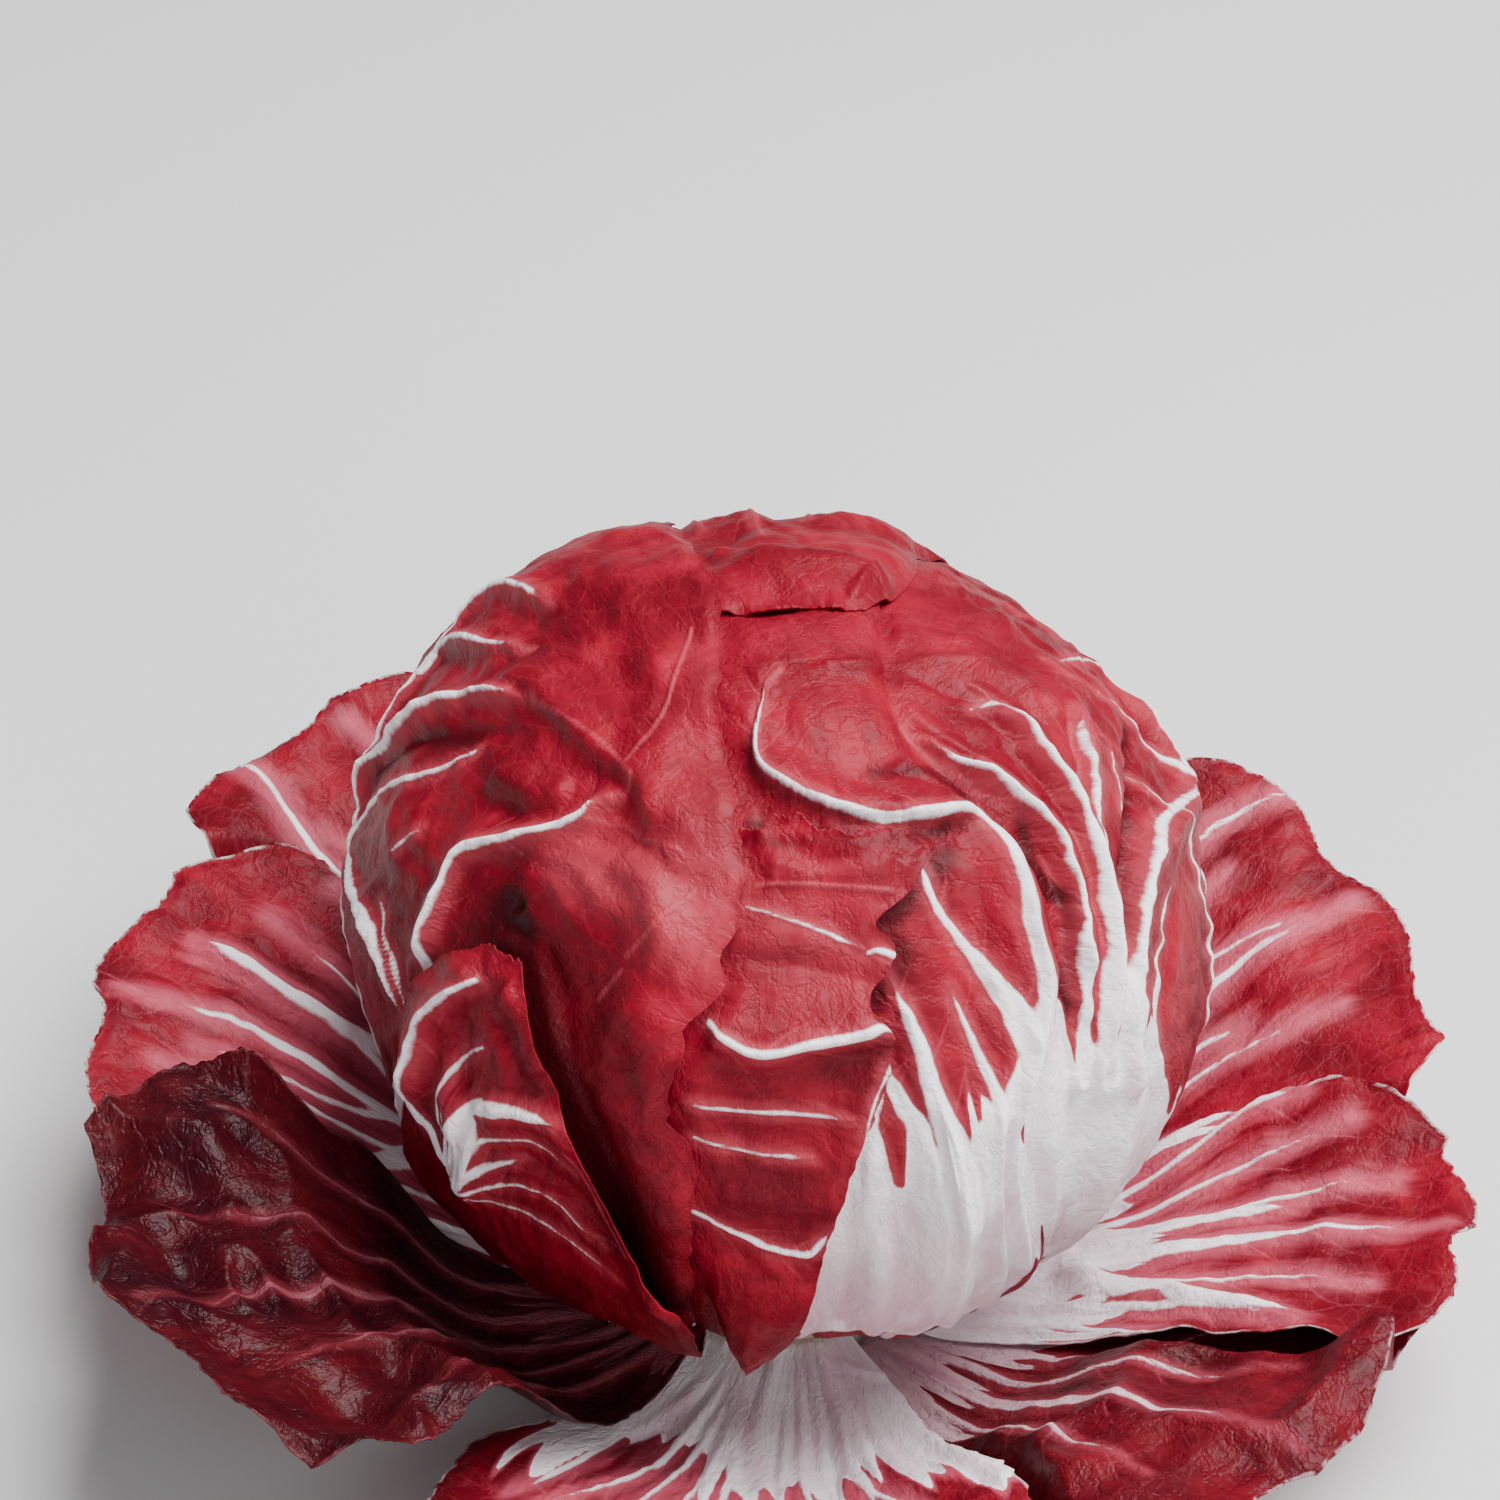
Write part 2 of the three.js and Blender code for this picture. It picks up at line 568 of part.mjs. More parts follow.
function heartGeometry() {
  const vertices = [];
  const triangles = [];
  const put = (direction) => {
    const turn = Math.atan2(direction.y, direction.x) * SPIRAL_FOLDS + direction.z * SPIRAL_TWIST;
    const fold = SPIRAL_DEPTH * (1 + Math.sin(turn)) * Math.hypot(direction.x, direction.y);
    const radius = heartRadius(direction) - fold - valley(direction, HOLLOW_DEPTH, HOLLOW_WIDTH);
    vertices.push(...direction.clone().multiplyScalar(radius).add(HEAD_CENTRE).toArray());
    return vertices.length / 3 - 1;
  };
  const rings = [];
  for (let j = 0; j < HEART_RISE; j++) {
    const climbed = j / (HEART_RISE - 1);
    const elevation = THREE.MathUtils.lerp(HEART_FOOT_ELEVATION, HEART_TOP_ELEVATION, climbed);
    rings.push(Array.from({ length: HEART_AROUND }, (_, i) => put(at((i * 360) / HEART_AROUND, elevation))));
  }
  const foot = rings[0].map((k) => vertices[3 * k + 2]);
  const footHeight = foot.reduce((sum, z) => sum + z, 0) / foot.length;
  rings[0].forEach((k) => (vertices[3 * k + 2] = footHeight));
  vertices.push(0, 0, footHeight);
  const footCentre = vertices.length / 3 - 1;
  const top = put(new THREE.Vector3(0, 0, 1));
  for (let i = 0; i < HEART_AROUND; i++) {
    const next = (i + 1) % HEART_AROUND;
    triangles.push(footCentre, rings[0][next], rings[0][i]);
    triangles.push(top, rings[HEART_RISE - 1][i], rings[HEART_RISE - 1][next]);
    for (let j = 1; j < HEART_RISE; j++) {
      triangles.push(rings[j - 1][i], rings[j - 1][next], rings[j][next]);
      triangles.push(rings[j - 1][i], rings[j][next], rings[j][i]);
    }
  }
  return closedGeometry(vertices, triangles);
}

// The stump: cut flat below, waisted, and spread under the heart.
const CUT_RADIUS = 14;
const STUMP_HEIGHT = 14.2;
const STUMP_PROFILE = [
  [0, 0], [CUT_RADIUS, 0], [15.4, 1.4], [16.6, 4], [16.8, 8], [17.6, 12], [18, STUMP_HEIGHT],
  [0, STUMP_HEIGHT],
];

function stumpGeometry() {
  const profile = STUMP_PROFILE.map(([r, z]) => new THREE.Vector2(r, z));
  const geometry = new THREE.LatheGeometry(profile, 32);
  geometry.rotateX(Math.PI / 2);
  return geometry;
}

const radicchio = new THREE.Group();
radicchio.add(namedMesh("stump", stumpGeometry(), PALE_FLESH));
radicchio.add(namedMesh("heart", heartGeometry(), HEAD_SKIN));
for (const whorl of [HEAD_LEAVES, OUTER_LEAVES]) {
  whorl.forEach((leaf, i) => radicchio.add(leaf.mesh(whorl.slice(0, i), whorl.slice(i + 1))));
}

export default radicchio;
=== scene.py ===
"""A radicchio head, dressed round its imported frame.

The head is a packed heart in eight wrapping leaves. Each leaf is a closed shell whose distance from the
head's centre is worked out from the heart, from the leaves that lie under it and from its own folds.
The loose outer leaves are worked out in the same way, as heights in a bowl round the head.
"""

import logging
import math
from dataclasses import dataclass, field
from enum import Enum
from typing import Any, Callable, Iterable, Sequence

import bpy
import numpy as np
from mathutils import Matrix, Vector

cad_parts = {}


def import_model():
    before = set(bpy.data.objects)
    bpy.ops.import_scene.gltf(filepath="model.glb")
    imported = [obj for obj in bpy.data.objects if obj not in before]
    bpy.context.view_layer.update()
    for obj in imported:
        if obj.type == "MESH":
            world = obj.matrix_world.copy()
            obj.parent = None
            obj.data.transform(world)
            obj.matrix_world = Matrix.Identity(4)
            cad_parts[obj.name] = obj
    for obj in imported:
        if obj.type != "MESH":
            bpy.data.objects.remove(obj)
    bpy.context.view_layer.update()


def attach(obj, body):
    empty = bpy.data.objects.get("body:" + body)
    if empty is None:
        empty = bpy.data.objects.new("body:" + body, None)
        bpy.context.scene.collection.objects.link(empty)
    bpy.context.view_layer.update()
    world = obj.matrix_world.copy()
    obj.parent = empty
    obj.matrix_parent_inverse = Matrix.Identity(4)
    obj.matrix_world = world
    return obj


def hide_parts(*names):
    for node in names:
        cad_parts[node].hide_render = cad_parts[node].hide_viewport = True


log = logging.getLogger("radicchio")

Array = np.ndarray
Pixel = tuple[float, float]
Colour = tuple[float, float, float]
Place = tuple[float, float, float]

MM = 0.001
HEAD_CENTRE = np.array([0.0, 0.0, 64.0])
HEAD_RADII = np.array([60.0, 59.0, 55.0])
CHART_RADIUS = 59.0
BLADE = 0.95
GAP = 0.7
LAYER = BLADE + GAP
EDGE_BLADE = 0.3
THIN_MARGIN = 2.5
LIFTED_MARGIN = 3.0
BASE_ELEVATION = -64.0
FAR = 1e3

PHOTO_SIDE = 1500
PHOTO_HEAD = (780.0, 935.0)
PHOTO_MM = 60.2 / 436.0
VIEW_ANGLE = math.radians(38)
VIEW_DISTANCE = 700.0
SENSOR = 36.0


def smooth(value: Array, low: float, high: float) -> Array:
    """A smooth step from 0 at low to 1 at high."""
    share = np.clip((value - low) / (high - low), 0.0, 1.0)
    return share * share * (3 - 2 * share)


def unit(vectors: Array) -> Array:
    """The vectors, each made one long."""
    return vectors / np.maximum(np.linalg.norm(vectors, axis=-1, keepdims=True), 1e-9)


def at(azimuth: float, elevation: float) -> Array:
    """The direction from the head's centre at an azimuth and an elevation, in degrees."""
    a, e = math.radians(azimuth), math.radians(elevation)
    return np.array([math.cos(e) * math.cos(a), math.cos(e) * math.sin(a), math.sin(e)])


def base(azimuth: float) -> Array:
    """Where the head's leaves leave the stump."""
    return at(azimuth, BASE_ELEVATION)


SCRAMBLERS = np.array([73856093, 19349663, 83492791])


def lattice_value(cell: Array, seed: int) -> Array:
    """A repeatable number from -1 to 1 for each whole-numbered cell."""
    mixed = np.bitwise_xor.reduce(cell * SCRAMBLERS, axis=-1) ^ (seed * 2654435761)
    mixed = (mixed ^ (mixed >> 13)) * 1274126177
    return ((mixed ^ (mixed >> 16)) & 0xFFFF) / 32767.5 - 1.0


LATTICES = (
    np.array([[0.8, -0.6, 0.0], [0.6, 0.8, 0.0], [0.0, 0.0, 1.0]]),
    np.array([[0.36, 0.48, -0.8], [-0.8, 0.6, 0.0], [0.48, 0.64, 0.6]]),
)


def noise(points: Array, size: float, seed: int) -> Array:
    """Smooth noise from -1 to 1.

    Args:
        points: Places, three numbers each.
        size: How far apart its lumps are, in the points' unit.
        seed: Picks one of many patterns.

    Returns:
        One number for each point.
    """
    total = np.zeros(points.shape[:-1])
    for k, turn in enumerate(LATTICES):
        scaled = (points / size) @ turn + 0.37 * k
        cell = np.floor(scaled).astype(np.int64)
        part = scaled - cell
        part = part * part * (3 - 2 * part)
        for corner in range(8):
            step = (corner & 1, corner >> 1 & 1, corner >> 2 & 1)
            weight = 1.0
            for axis in range(3):
                weight = weight * (part[..., axis] if step[axis] else 1 - part[..., axis])
            total += weight * lattice_value(cell + np.array(step), seed + 5 * k)
    return total * 0.7


class Viewpoint:
    """The photograph's eye: turns its pixels into places on the head and in the bowl."""

    def __init__(self) -> None:
        """Places the eye in front of the head and above it."""
        self.back = np.array([0.0, -math.cos(VIEW_ANGLE), math.sin(VIEW_ANGLE)])
        self.right = np.array([1.0, 0.0, 0.0])
        self.up = np.cross(self.back, self.right)
        self.eye = self.back * VIEW_DISTANCE

    def ray(self, x: float, y: float) -> Array:
        """The ray through a point of the plane at the head's centre, x and y in millimetres there."""
        return unit(self.right * x + self.up * y - self.eye)

    def seen(self, x: float, y: float) -> Array:
        """The direction of the head's skin that shows at x, y of the front plane."""
        ray = self.ray(x, y)
        start, step = self.eye / HEAD_RADII, ray / HEAD_RADII
        a, b, c = step @ step, start @ step, start @ start - 1
        travel = (-b - math.sqrt(max(b * b - a * c, 0.0))) / a
        return unit(self.eye + ray * travel)

    def millimetres(self, pixel: Pixel) -> Pixel:
        """A pixel of the photograph in millimetres of the front plane."""
        return (pixel[0] - PHOTO_HEAD[0]) * PHOTO_MM, (PHOTO_HEAD[1] - pixel[1]) * PHOTO_MM

    def on_head(self, pixels: Iterable[Pixel]) -> list[Array]:
        """The directions of the head's skin that show at these pixels."""
        return [self.seen(*self.millimetres(p)) for p in pixels]

    def in_bowl(self, pixels: Iterable[Pixel], height: Callable[[float, float], float]) -> list[Array]:
        """The places in plan of what shows at these pixels on a sheet of a given height.

        Args:
            pixels: Pixels of the photograph.
            height: The sheet's height over x, y, in millimetres.

        Returns:
            Points x, y in millimetres from the stump's axis.
        """
        found = []
        for pixel in pixels:
            ray, level = self.ray(*self.millimetres(pixel)), 12.0
            for _ in range(25):
                travel = (level - HEAD_CENTRE[2] - self.eye[2]) / ray[2]
                spot = self.eye + ray * travel
                level += 0.5 * (height(float(spot[0]), float(spot[1])) - level)
            found.append(np.array([spot[0], spot[1]]))
        return found


EYE = Viewpoint()


def seen(*points: Pixel) -> list[Array]:
    """Directions of the head's skin at points of the front plane, in millimetres."""
    return [EYE.seen(x, y) for x, y in points]


def px(*pixels: Pixel) -> list[Array]:
    """Directions of the head's skin at pixels of the photograph."""
    return EYE.on_head(pixels)


def curve_through(points: Sequence[Array], samples: int = 240) -> Array:
    """A centripetal Catmull-Rom curve through some points.

    Args:
        points: The points.
        samples: How many points the curve gets.

    Returns:
        Its points, evenly spaced along its length.
    """
    p = np.array(points, float)
    p = np.vstack([2 * p[0] - p[1], p, 2 * p[-1] - p[-2]])
    fine = []
    for i in range(1, len(p) - 2):
        a, b, c, d = p[i - 1], p[i], p[i + 1], p[i + 2]
        t1 = max(np.linalg.norm(b - a) ** 0.5, 1e-6)
        t2 = t1 + max(np.linalg.norm(c - b) ** 0.5, 1e-6)
        t3 = t2 + max(np.linalg.norm(d - c) ** 0.5, 1e-6)
        t = np.linspace(t1, t2, 32, endpoint=False)[:, None]
        ab = (t1 - t) / t1 * a + t / t1 * b
        bc = (t2 - t) / (t2 - t1) * b + (t - t1) / (t2 - t1) * c
        cd = (t3 - t) / (t3 - t2) * c + (t - t2) / (t3 - t2) * d
        abc = (t2 - t) / t2 * ab + t / t2 * bc
        bcd = (t3 - t) / (t3 - t1) * bc + (t - t1) / (t3 - t1) * cd
        fine.append((t2 - t) / (t2 - t1) * abc + (t - t1) / (t2 - t1) * bcd)
    line = np.vstack([*fine, p[-2:-1]])
    run = np.concatenate([[0], np.cumsum(np.linalg.norm(np.diff(line, axis=0), axis=1))])
    even = np.linspace(0, run[-1], samples)
    return np.stack([np.interp(even, run, column) for column in line.T], axis=1)


def along_curve(curve: Array, share: Array) -> Array:
    """Points of an evenly spaced curve at shares of its length."""
    corners = np.arange(len(curve))
    place = np.clip(share, 0, 1) * corners[-1]
    return np.stack([np.interp(place, corners, column) for column in curve.T], -1)


def between(start: Array, end: Array, share: Array) -> Array:
    """Directions a share of the way along great circles."""
    angle = np.arccos(np.clip(np.sum(start * end, -1), -1, 1))[..., None]
    share = share[..., None]
    mixed = np.sin((1 - share) * angle) * start + np.sin(share * angle) * end
    return unit(np.where(angle < 1e-5, start, mixed))


class Chart:
    """A flat chart of the head's skin round one direction, in millimetres."""

    def __init__(self, centre: Array) -> None:
        """Lays the chart out round its centre."""
        self.centre = unit(centre)
        pole = np.array([0.0, 1.0, 0.0] if abs(self.centre[2]) > 0.9 else [0.0, 0.0, 1.0])
        self.east = unit(np.cross(pole, self.centre))
        self.north = np.cross(self.centre, self.east)

    def flat(self, directions: Array) -> Array:
        """The directions' places on the chart."""
        d = np.asarray(directions)
        x, y = d @ self.east, d @ self.north
        angle = np.arccos(np.clip(d @ self.centre, -1, 1))
        scale = angle * CHART_RADIUS / np.maximum(np.hypot(x, y), 1e-9)
        return np.stack([x * scale, y * scale], -1)


def nearest_on_path(points: Array, path: Array, within: float = 1e4) -> tuple[Array, Array, Array]:
    """How points lie beside a path in the plane.

    Args:
        points: Places, two numbers each.
        path: The path's corners.
        within: How far from the path the answer matters: the points beyond it may be called far away.

    Returns:
        The distance, the side (1 on its left, -1 on its right) and the share of the path passed.
    """
    shape = points.shape[:-1]
    everywhere = points.reshape(-1, 2)
    low, high = path.min(axis=0) - within, path.max(axis=0) + within
    near = np.all((everywhere > low) & (everywhere < high), axis=1)
    flat = everywhere[near]
    best = np.full(len(flat), FAR)
    side = np.ones(len(flat))
    share = np.zeros(len(flat))
    lengths = np.linalg.norm(np.diff(path, axis=0), axis=1)
    run = np.concatenate([[0], np.cumsum(lengths)]) / max(lengths.sum(), 1e-9)
    for i in range(len(path) - 1):
        line = path[i + 1] - path[i]
        away = flat - path[i]
        t = np.clip(away @ line / max(line @ line, 1e-9), 0, 1)
        gap = away - t[:, None] * line
        distance = np.hypot(gap[:, 0], gap[:, 1])
        nearer = distance < best
        best = np.where(nearer, distance, best)
        turn = line[0] * away[:, 1] - line[1] * away[:, 0]
        side = np.where(nearer, np.where(turn >= 0, 1.0, -1.0), side)
        share = np.where(nearer, run[i] + t * (run[i + 1] - run[i]), share)
    found = []
    for values, unmeasured in ((best, FAR), (side, 1.0), (share, 0.0)):
        every = np.full(len(everywhere), unmeasured)
        every[near] = values
        found.append(every.reshape(shape))
    return found[0], found[1], found[2]


def outside(points: Array, outline: Array) -> Array:
    """How far places lie outside a closed outline.

    Args:
        points: Places, two numbers each.
        outline: The outline's corners.

    Returns:
        The distance to it, negative inside.
    """
    closed = np.vstack([outline, outline[:1]])
    distance = nearest_on_path(points, closed)[0]
    x, y = points[..., 0], points[..., 1]
    inside = np.zeros(points.shape[:-1], bool)
    for a, b in zip(closed[:-1], closed[1:]):
        if a[1] == b[1]:
            continue
        crosses = (a[1] > y) != (b[1] > y)
        inside ^= crosses & (x < (b[0] - a[0]) * (y - a[1]) / (b[1] - a[1]) + a[0])
    return np.where(inside, -distance, distance)


class OutlineTable:
    """Distances to a closed outline, worked out once on a millimetre grid of its chart."""

    def __init__(self, outline: Array, spare: float = 13.0) -> None:
        """Measures the grid: its points lie up to spare millimetres outside the outline."""
        self.low = outline.min(axis=0) - spare
        columns, rows = np.ceil(outline.max(axis=0) + spare - self.low).astype(int) + 1
        y, x = np.meshgrid(np.arange(rows), np.arange(columns), indexing="ij")
        self.distance = outside(np.stack([x, y], -1) + self.low, outline)

    def at(self, points: Array) -> Array:
        """The distance to the outline, read from the table.

        Args:
            points: Places on the chart.

        Returns:
            The distance, negative inside.
        """
        rows, columns = self.distance.shape
        x = np.clip(points[..., 0] - self.low[0], 0, columns - 1.001)
        y = np.clip(points[..., 1] - self.low[1], 0, rows - 1.001)
        i, j = x.astype(int), y.astype(int)
        right, up = x - i, y - j
        lower = self.distance[j, i] * (1 - right) + self.distance[j, i + 1] * right
        upper = self.distance[j + 1, i] * (1 - right) + self.distance[j + 1, i + 1] * right
        return lower * (1 - up) + upper * up


@dataclass(frozen=True)
class Reach:
    """How a leaf comes down past the edge of the leaf under it.

    Args:
        held: How far past the edge it keeps its level, in millimetres.
        sunk: Where it has come down, in millimetres past the edge.
    """

    held: float
    sunk: float

    def share(self, distance: Array) -> Array:
        """1 over the leaf and just past its edge, 0 where the leaf above has sunk."""
        return 1 - smooth(distance, self.held, self.sunk)


THINNEST_RIB = 0.4
BRANCHING_RIB = 0.6
VEIN_STEP = 4.5
DRAPE = Reach(2.0, 11.0)
TUCK = Reach(0.6, 4.0)


@dataclass(frozen=True)
class Rib:
    """A pale rib.

    Args:
        path: Where it runs.
        widths: Its full width at evenly spaced places of the path, in millimetres.
        proud: How far it stands out where it is a millimetre wide, in millimetres.
    """

    path: Sequence[Array]
    widths: tuple[float, ...]
    proud: float = 0.3

    def width(self, share: Array) -> Array:
        """Its full width at shares of its length. It runs out to less than nothing at its end."""
        width = np.interp(share, np.linspace(0, 1, len(self.widths)), self.widths)
        return width - smooth(share, 0.8, 1.0) * (width + 0.5)


@dataclass(frozen=True)
class Fold:
    """A ridge, or a groove.

    Args:
        path: Where it runs.
        height: Its height in millimetres, below 0 for a groove.
        left: Its half width on the left of the path, looking along it.
        right: Its half width on the right.
        smoothed: Whether it runs out at both ends.
    """

    path: Sequence[Array]
    height: float
    left: float
    right: float
    smoothed: bool = True


@dataclass(frozen=True)
class PaintedShading:
    """A soft patch of painted light and shade: paler where light falls on the blade, darker in its creases,
    valleys and under overlapping margins.

    Args:
        path: Where it runs.
        width: Its half width in millimetres.
        amount: How strong it is, above 0 for painted light and below 0 for painted shade.
    """

    path: Sequence[Array]
    width: float
    amount: float


LEAVES_OVER = 2.6
MORE_LEAVES_IN_FRONT = 3.8
FRONT = at(-105, 45)
SHOULDER = 4.2
SHOULDER_MIDDLE = at(151, 25)


def heart_radius(directions: Array) -> Array:
    """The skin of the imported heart: how far it lies from the head's centre, in millimetres.

    It leaves room for the leaves over it, more of them in front, and has a shoulder at the back left.
    """
    spheroid = 1 / np.linalg.norm(directions / HEAD_RADII, axis=-1)
    front = smooth(directions @ FRONT, -0.2, 0.9)
    x, y, z = directions[..., 0], directions[..., 1], directions[..., 2]
    swell = 0.5 * np.sin(3.1 * x + 1.3) * np.cos(2.7 * y - 0.4) + 0.4 * np.sin(3.7 * z + 2.2 * x)
    shoulder = SHOULDER * smooth(directions @ SHOULDER_MIDDLE, 0.62, 1.0)
    return spheroid - LEAVES_OVER - MORE_LEAVES_IN_FRONT * front + swell + shoulder


FOCUSED_STEPS = (0, 0.05, 0.95, 1)


def grid_of(across: int, along: int, focus: Pixel, focus_along: Pixel) -> tuple[Array, Array]:
    """The u and v of a grid's points, one row for each step along.

    Args:
        across: How many steps across.
        along: How many steps along.
        focus: The range of u that gets nine tenths of the steps across.
        focus_along: The range of v that gets nine tenths of the steps along.

    Returns:
        Two grids of numbers from 0 to 1.
    """
    columns = np.interp(np.linspace(0, 1, across + 1), FOCUSED_STEPS, [0, *focus, 1])
    rows = np.interp(np.linspace(0, 1, along + 1), FOCUSED_STEPS, [0, *focus_along, 1])
    v, u = np.meshgrid(rows, columns, indexing="ij")
    return u, v


def rim_of(steps: int) -> tuple[Array, Array]:
    """The u and v of points round a grid's rim."""
    t = np.arange(steps) / steps
    one, none = np.ones(steps), np.zeros(steps)
    return np.concatenate([t, one, 1 - t, none]), np.concatenate([none, t, one, 1 - t])


RIDGE_POWER = 2.0
GROOVE_POWER = 1.3


def relief(folds: Sequence[tuple[Fold, Array]], points: Array) -> Array:
    """The height of a leaf's folds: the highest ridge and the deepest groove.

    Args:
        folds: The folds, each with its path on the leaf's chart.
        points: Places on that chart.

    Returns:
        The height at each, in millimetres.
    """
    high, low = np.zeros(points.shape[:-1]), np.zeros(points.shape[:-1])
    for fold, path in folds:
        distance, side, share = nearest_on_path(points, path, 3 * max(fold.left, fold.right))
        width = np.where(side > 0, fold.left, fold.right)
        ends = smooth(share, 0, 0.12) * (1 - smooth(share, 0.88, 1)) if fold.smoothed else 1.0
        power = RIDGE_POWER if fold.height > 0 else GROOVE_POWER
        rise = fold.height * np.exp(-((distance / width) ** power)) * (0.35 + 0.65 * ends)
        high, low = np.maximum(high, rise), np.minimum(low, rise)
    return high + low


@dataclass
class Skin:
    """What is known at each point of a leaf's grid.

    Args:
        u: The share of the way across the leaf.
        v: The share of the way along it.
        places: Where it is: a direction, or a place in plan.
        points: The same on the leaf's chart.
        edge: How far in from the margin it lies, in millimetres.
        rise: How far a rib stands out there.
        flesh: The distance to the nearest edge of white flesh, negative inside it.
        vein: The distance to the nearest fine vein.
        flow: What streaks and creases follow.
    """

    u: Array
    v: Array
    places: Array
    points: Array
    edge: Array
    rise: Array
    flesh: Array
    vein: Array
    flow: Array


FAN_BEHIND = 32.0
FAN_RADIUS = 62.0
UNMEASURED = 20.0
VEIN_FIELD = 3.0


class Grain(Enum):
    """Which way a leaf's streaks and fine creases run: the order and the scale of its across and along."""

    ALONG = ((0, 1.0), (1, 1.0))
    ACROSS = ((1, 0.5), (0, 1.8))


@dataclass
class Leaf:
    """What all leaves share: their names, their margins, their ribs and folds, and how they are meshed.

    Args:
        name: The piece's name.
        node: The CAD node that it stands for.
        left: The left margin, from the base to the tip.
        middle: The middle line.
        right: The right margin.
        grid: How many steps across and along, both even.
        wave: How far the margins wave, as a share of the leaf.
        teeth: How far the margins are bitten in.
        ribs: Its ribs.
        folds: Its ridges and grooves.
        flesh: Outlines of white flesh.
        painted_shades: Its painted light and shade: paler and darker patches.
        crinkle: The height of its fine crinkles, in millimetres.
        swell: The height of its lumps, in millimetres.
        lift: How far its margins stand off, in millimetres. Below 0 they are pressed on what lies beneath.
        flame: How far up the white of its base reaches, as a share of the leaf.
        rim: How pale its margins are, from 0 to 1.
        focus: The part across that gets most of the grid.
        focus_along: The part along that gets most of the grid.
        grain: Which way its streaks run.
        finish: Its finish, where it isn't the one of its whorl.
    """

    name: str
    node: str
    left: Sequence[Array]
    middle: Sequence[Array]
    right: Sequence[Array]
    grid: tuple[int, int] = (110, 110)
    wave: float = 0.02
    teeth: float = 0.5
    ribs: Sequence[Rib] = ()
    folds: Sequence[Fold] = ()
    flesh: Sequence[Sequence[Array]] = ()
    painted_shades: Sequence[PaintedShading] = ()
    crinkle: float = 0.28
    swell: float = 0.5
    lift: float = 0.5
    flame: float = 0.25
    rim: float = 1.0
    focus: Pixel = (0.05, 0.95)
    focus_along: Pixel = (0.05, 0.95)
    grain: Grain = Grain.ALONG
    finish: "LeafFinish | None" = None

    def __post_init__(self) -> None:
        """Works out the rails and the leaf's outline on its chart."""
        self.rails = [curve_through(rail) for rail in (self.left, self.middle, self.right)]
        self.seed = sum(ord(letter) * (k + 3) for k, letter in enumerate(self.name)) % 9973
        self.open_chart()
        self.outline = self.flat(self.place(*rim_of(60)))
        self.table = OutlineTable(self.outline)
        self.rib_paths = [(rib, self.flat(self.curve_on(rib.path))) for rib in self.ribs]
        self.fold_paths = [(fold, self.flat(self.curve_on(fold.path))) for fold in self.folds]
        self.flesh_outlines = [self.flat(np.array(outline)) for outline in self.flesh]
        self.painted_shade_paths = [(shade_patch, self.flat(self.curve_on(shade_patch.path))) for shade_patch in self.painted_shades]
        branching = [path for rib, path in self.rib_paths if max(rib.widths) > BRANCHING_RIB]
        self.veinlets = [vein for path in branching for vein in self.side_veins(path)]

    def open_chart(self) -> None:
        """Lays out the chart that the leaf's distances are measured on."""
        raise NotImplementedError

    def flat(self, places: Array) -> Array:
        """Places of the leaf on its chart, in millimetres."""
        raise NotImplementedError

    def curve_on(self, path: Sequence[Array]) -> Array:
        """A smooth curve through a path's points, with few enough corners to measure from."""
        return curve_through(path, samples=8 * len(path))

    def loft(self, u: Array, v: Array) -> Array:
        """Places of the leaf between its rails."""
        raise NotImplementedError

    def place(self, u: Array, v: Array) -> Array:
        """Places of the leaf, with its margins' waves and teeth.

        Args:
            u: Shares of the way across.
            v: Shares of the way along.

        Returns:
            Directions, or places in plan.
        """
        side = np.sign(u - 0.5) * np.abs(2 * u - 1) ** 12
        spot = np.stack([v * 61 + self.seed, np.sign(u - 0.5), 0 * v], -1)
        top = np.stack([u * 47 + self.seed, 0 * v, v * 0 + 5.5], -1)
        tooth = noise(spot, 1.6, self.seed) + 0.6 * noise(spot, 0.6, self.seed + 1)
        nick = noise(top, 1.6, self.seed) + 0.6 * noise(top, 0.6, self.seed + 1)
        waved = 0.5 + (u - 0.5) * (1 + self.wave * np.sin(17 * v + 5 * u))
        toothed = smooth(v, 0.1, 0.3) * (1 - smooth(v, 0.88, 0.97))
        waved = waved + side * self.teeth * (tooth - 1) / 60 * toothed
        reach = v * (1 - self.wave * (1 + np.sin(13 * u)) * v)
        reach = reach + v**12 * self.teeth * (nick - 1) / 90
        return self.loft(waved, reach)

    def cover(self, places: Array, reach: Reach = DRAPE) -> Array:
        """How much of a leaf's level is kept by a leaf laid over it."""
        return reach.share(self.table.at(self.flat(places)))

    def side_veins(self, rib: Array) -> list[Array]:
        """Fine veins that leave a rib on both sides, leaning towards its tip.

        Args:
            rib: The rib's path on the chart.

        Returns:
            Their paths.
        """
        steps = np.linalg.norm(np.diff(rib, axis=0), axis=1)
        length = steps.sum()
        chance = np.random.default_rng(self.seed + len(rib))
        veins = []
        for k in range(int(length / VEIN_STEP)):
            place = int(np.searchsorted(np.cumsum(steps), (k + chance.uniform(0.3, 0.9)) * VEIN_STEP))
            place = min(place, len(steps) - 1)
            ahead = unit(rib[place + 1] - rib[place])
            lean = math.radians(chance.uniform(28, 52)) * (1 if k % 2 else -1)
            reach = chance.uniform(6, 15)
            path = [rib[place]]
            for part, turn in ((0.3, 1.0), (0.35, 0.8), (0.35, 0.45)):
                angle = lean * turn * chance.uniform(0.75, 1.25)
                c, s = math.cos(angle), math.sin(angle)
                turned = np.array([c * ahead[0] - s * ahead[1], s * ahead[0] + c * ahead[1]])
                path.append(path[-1] + reach * part * turned)
            veins.append(np.array(path))
        return veins

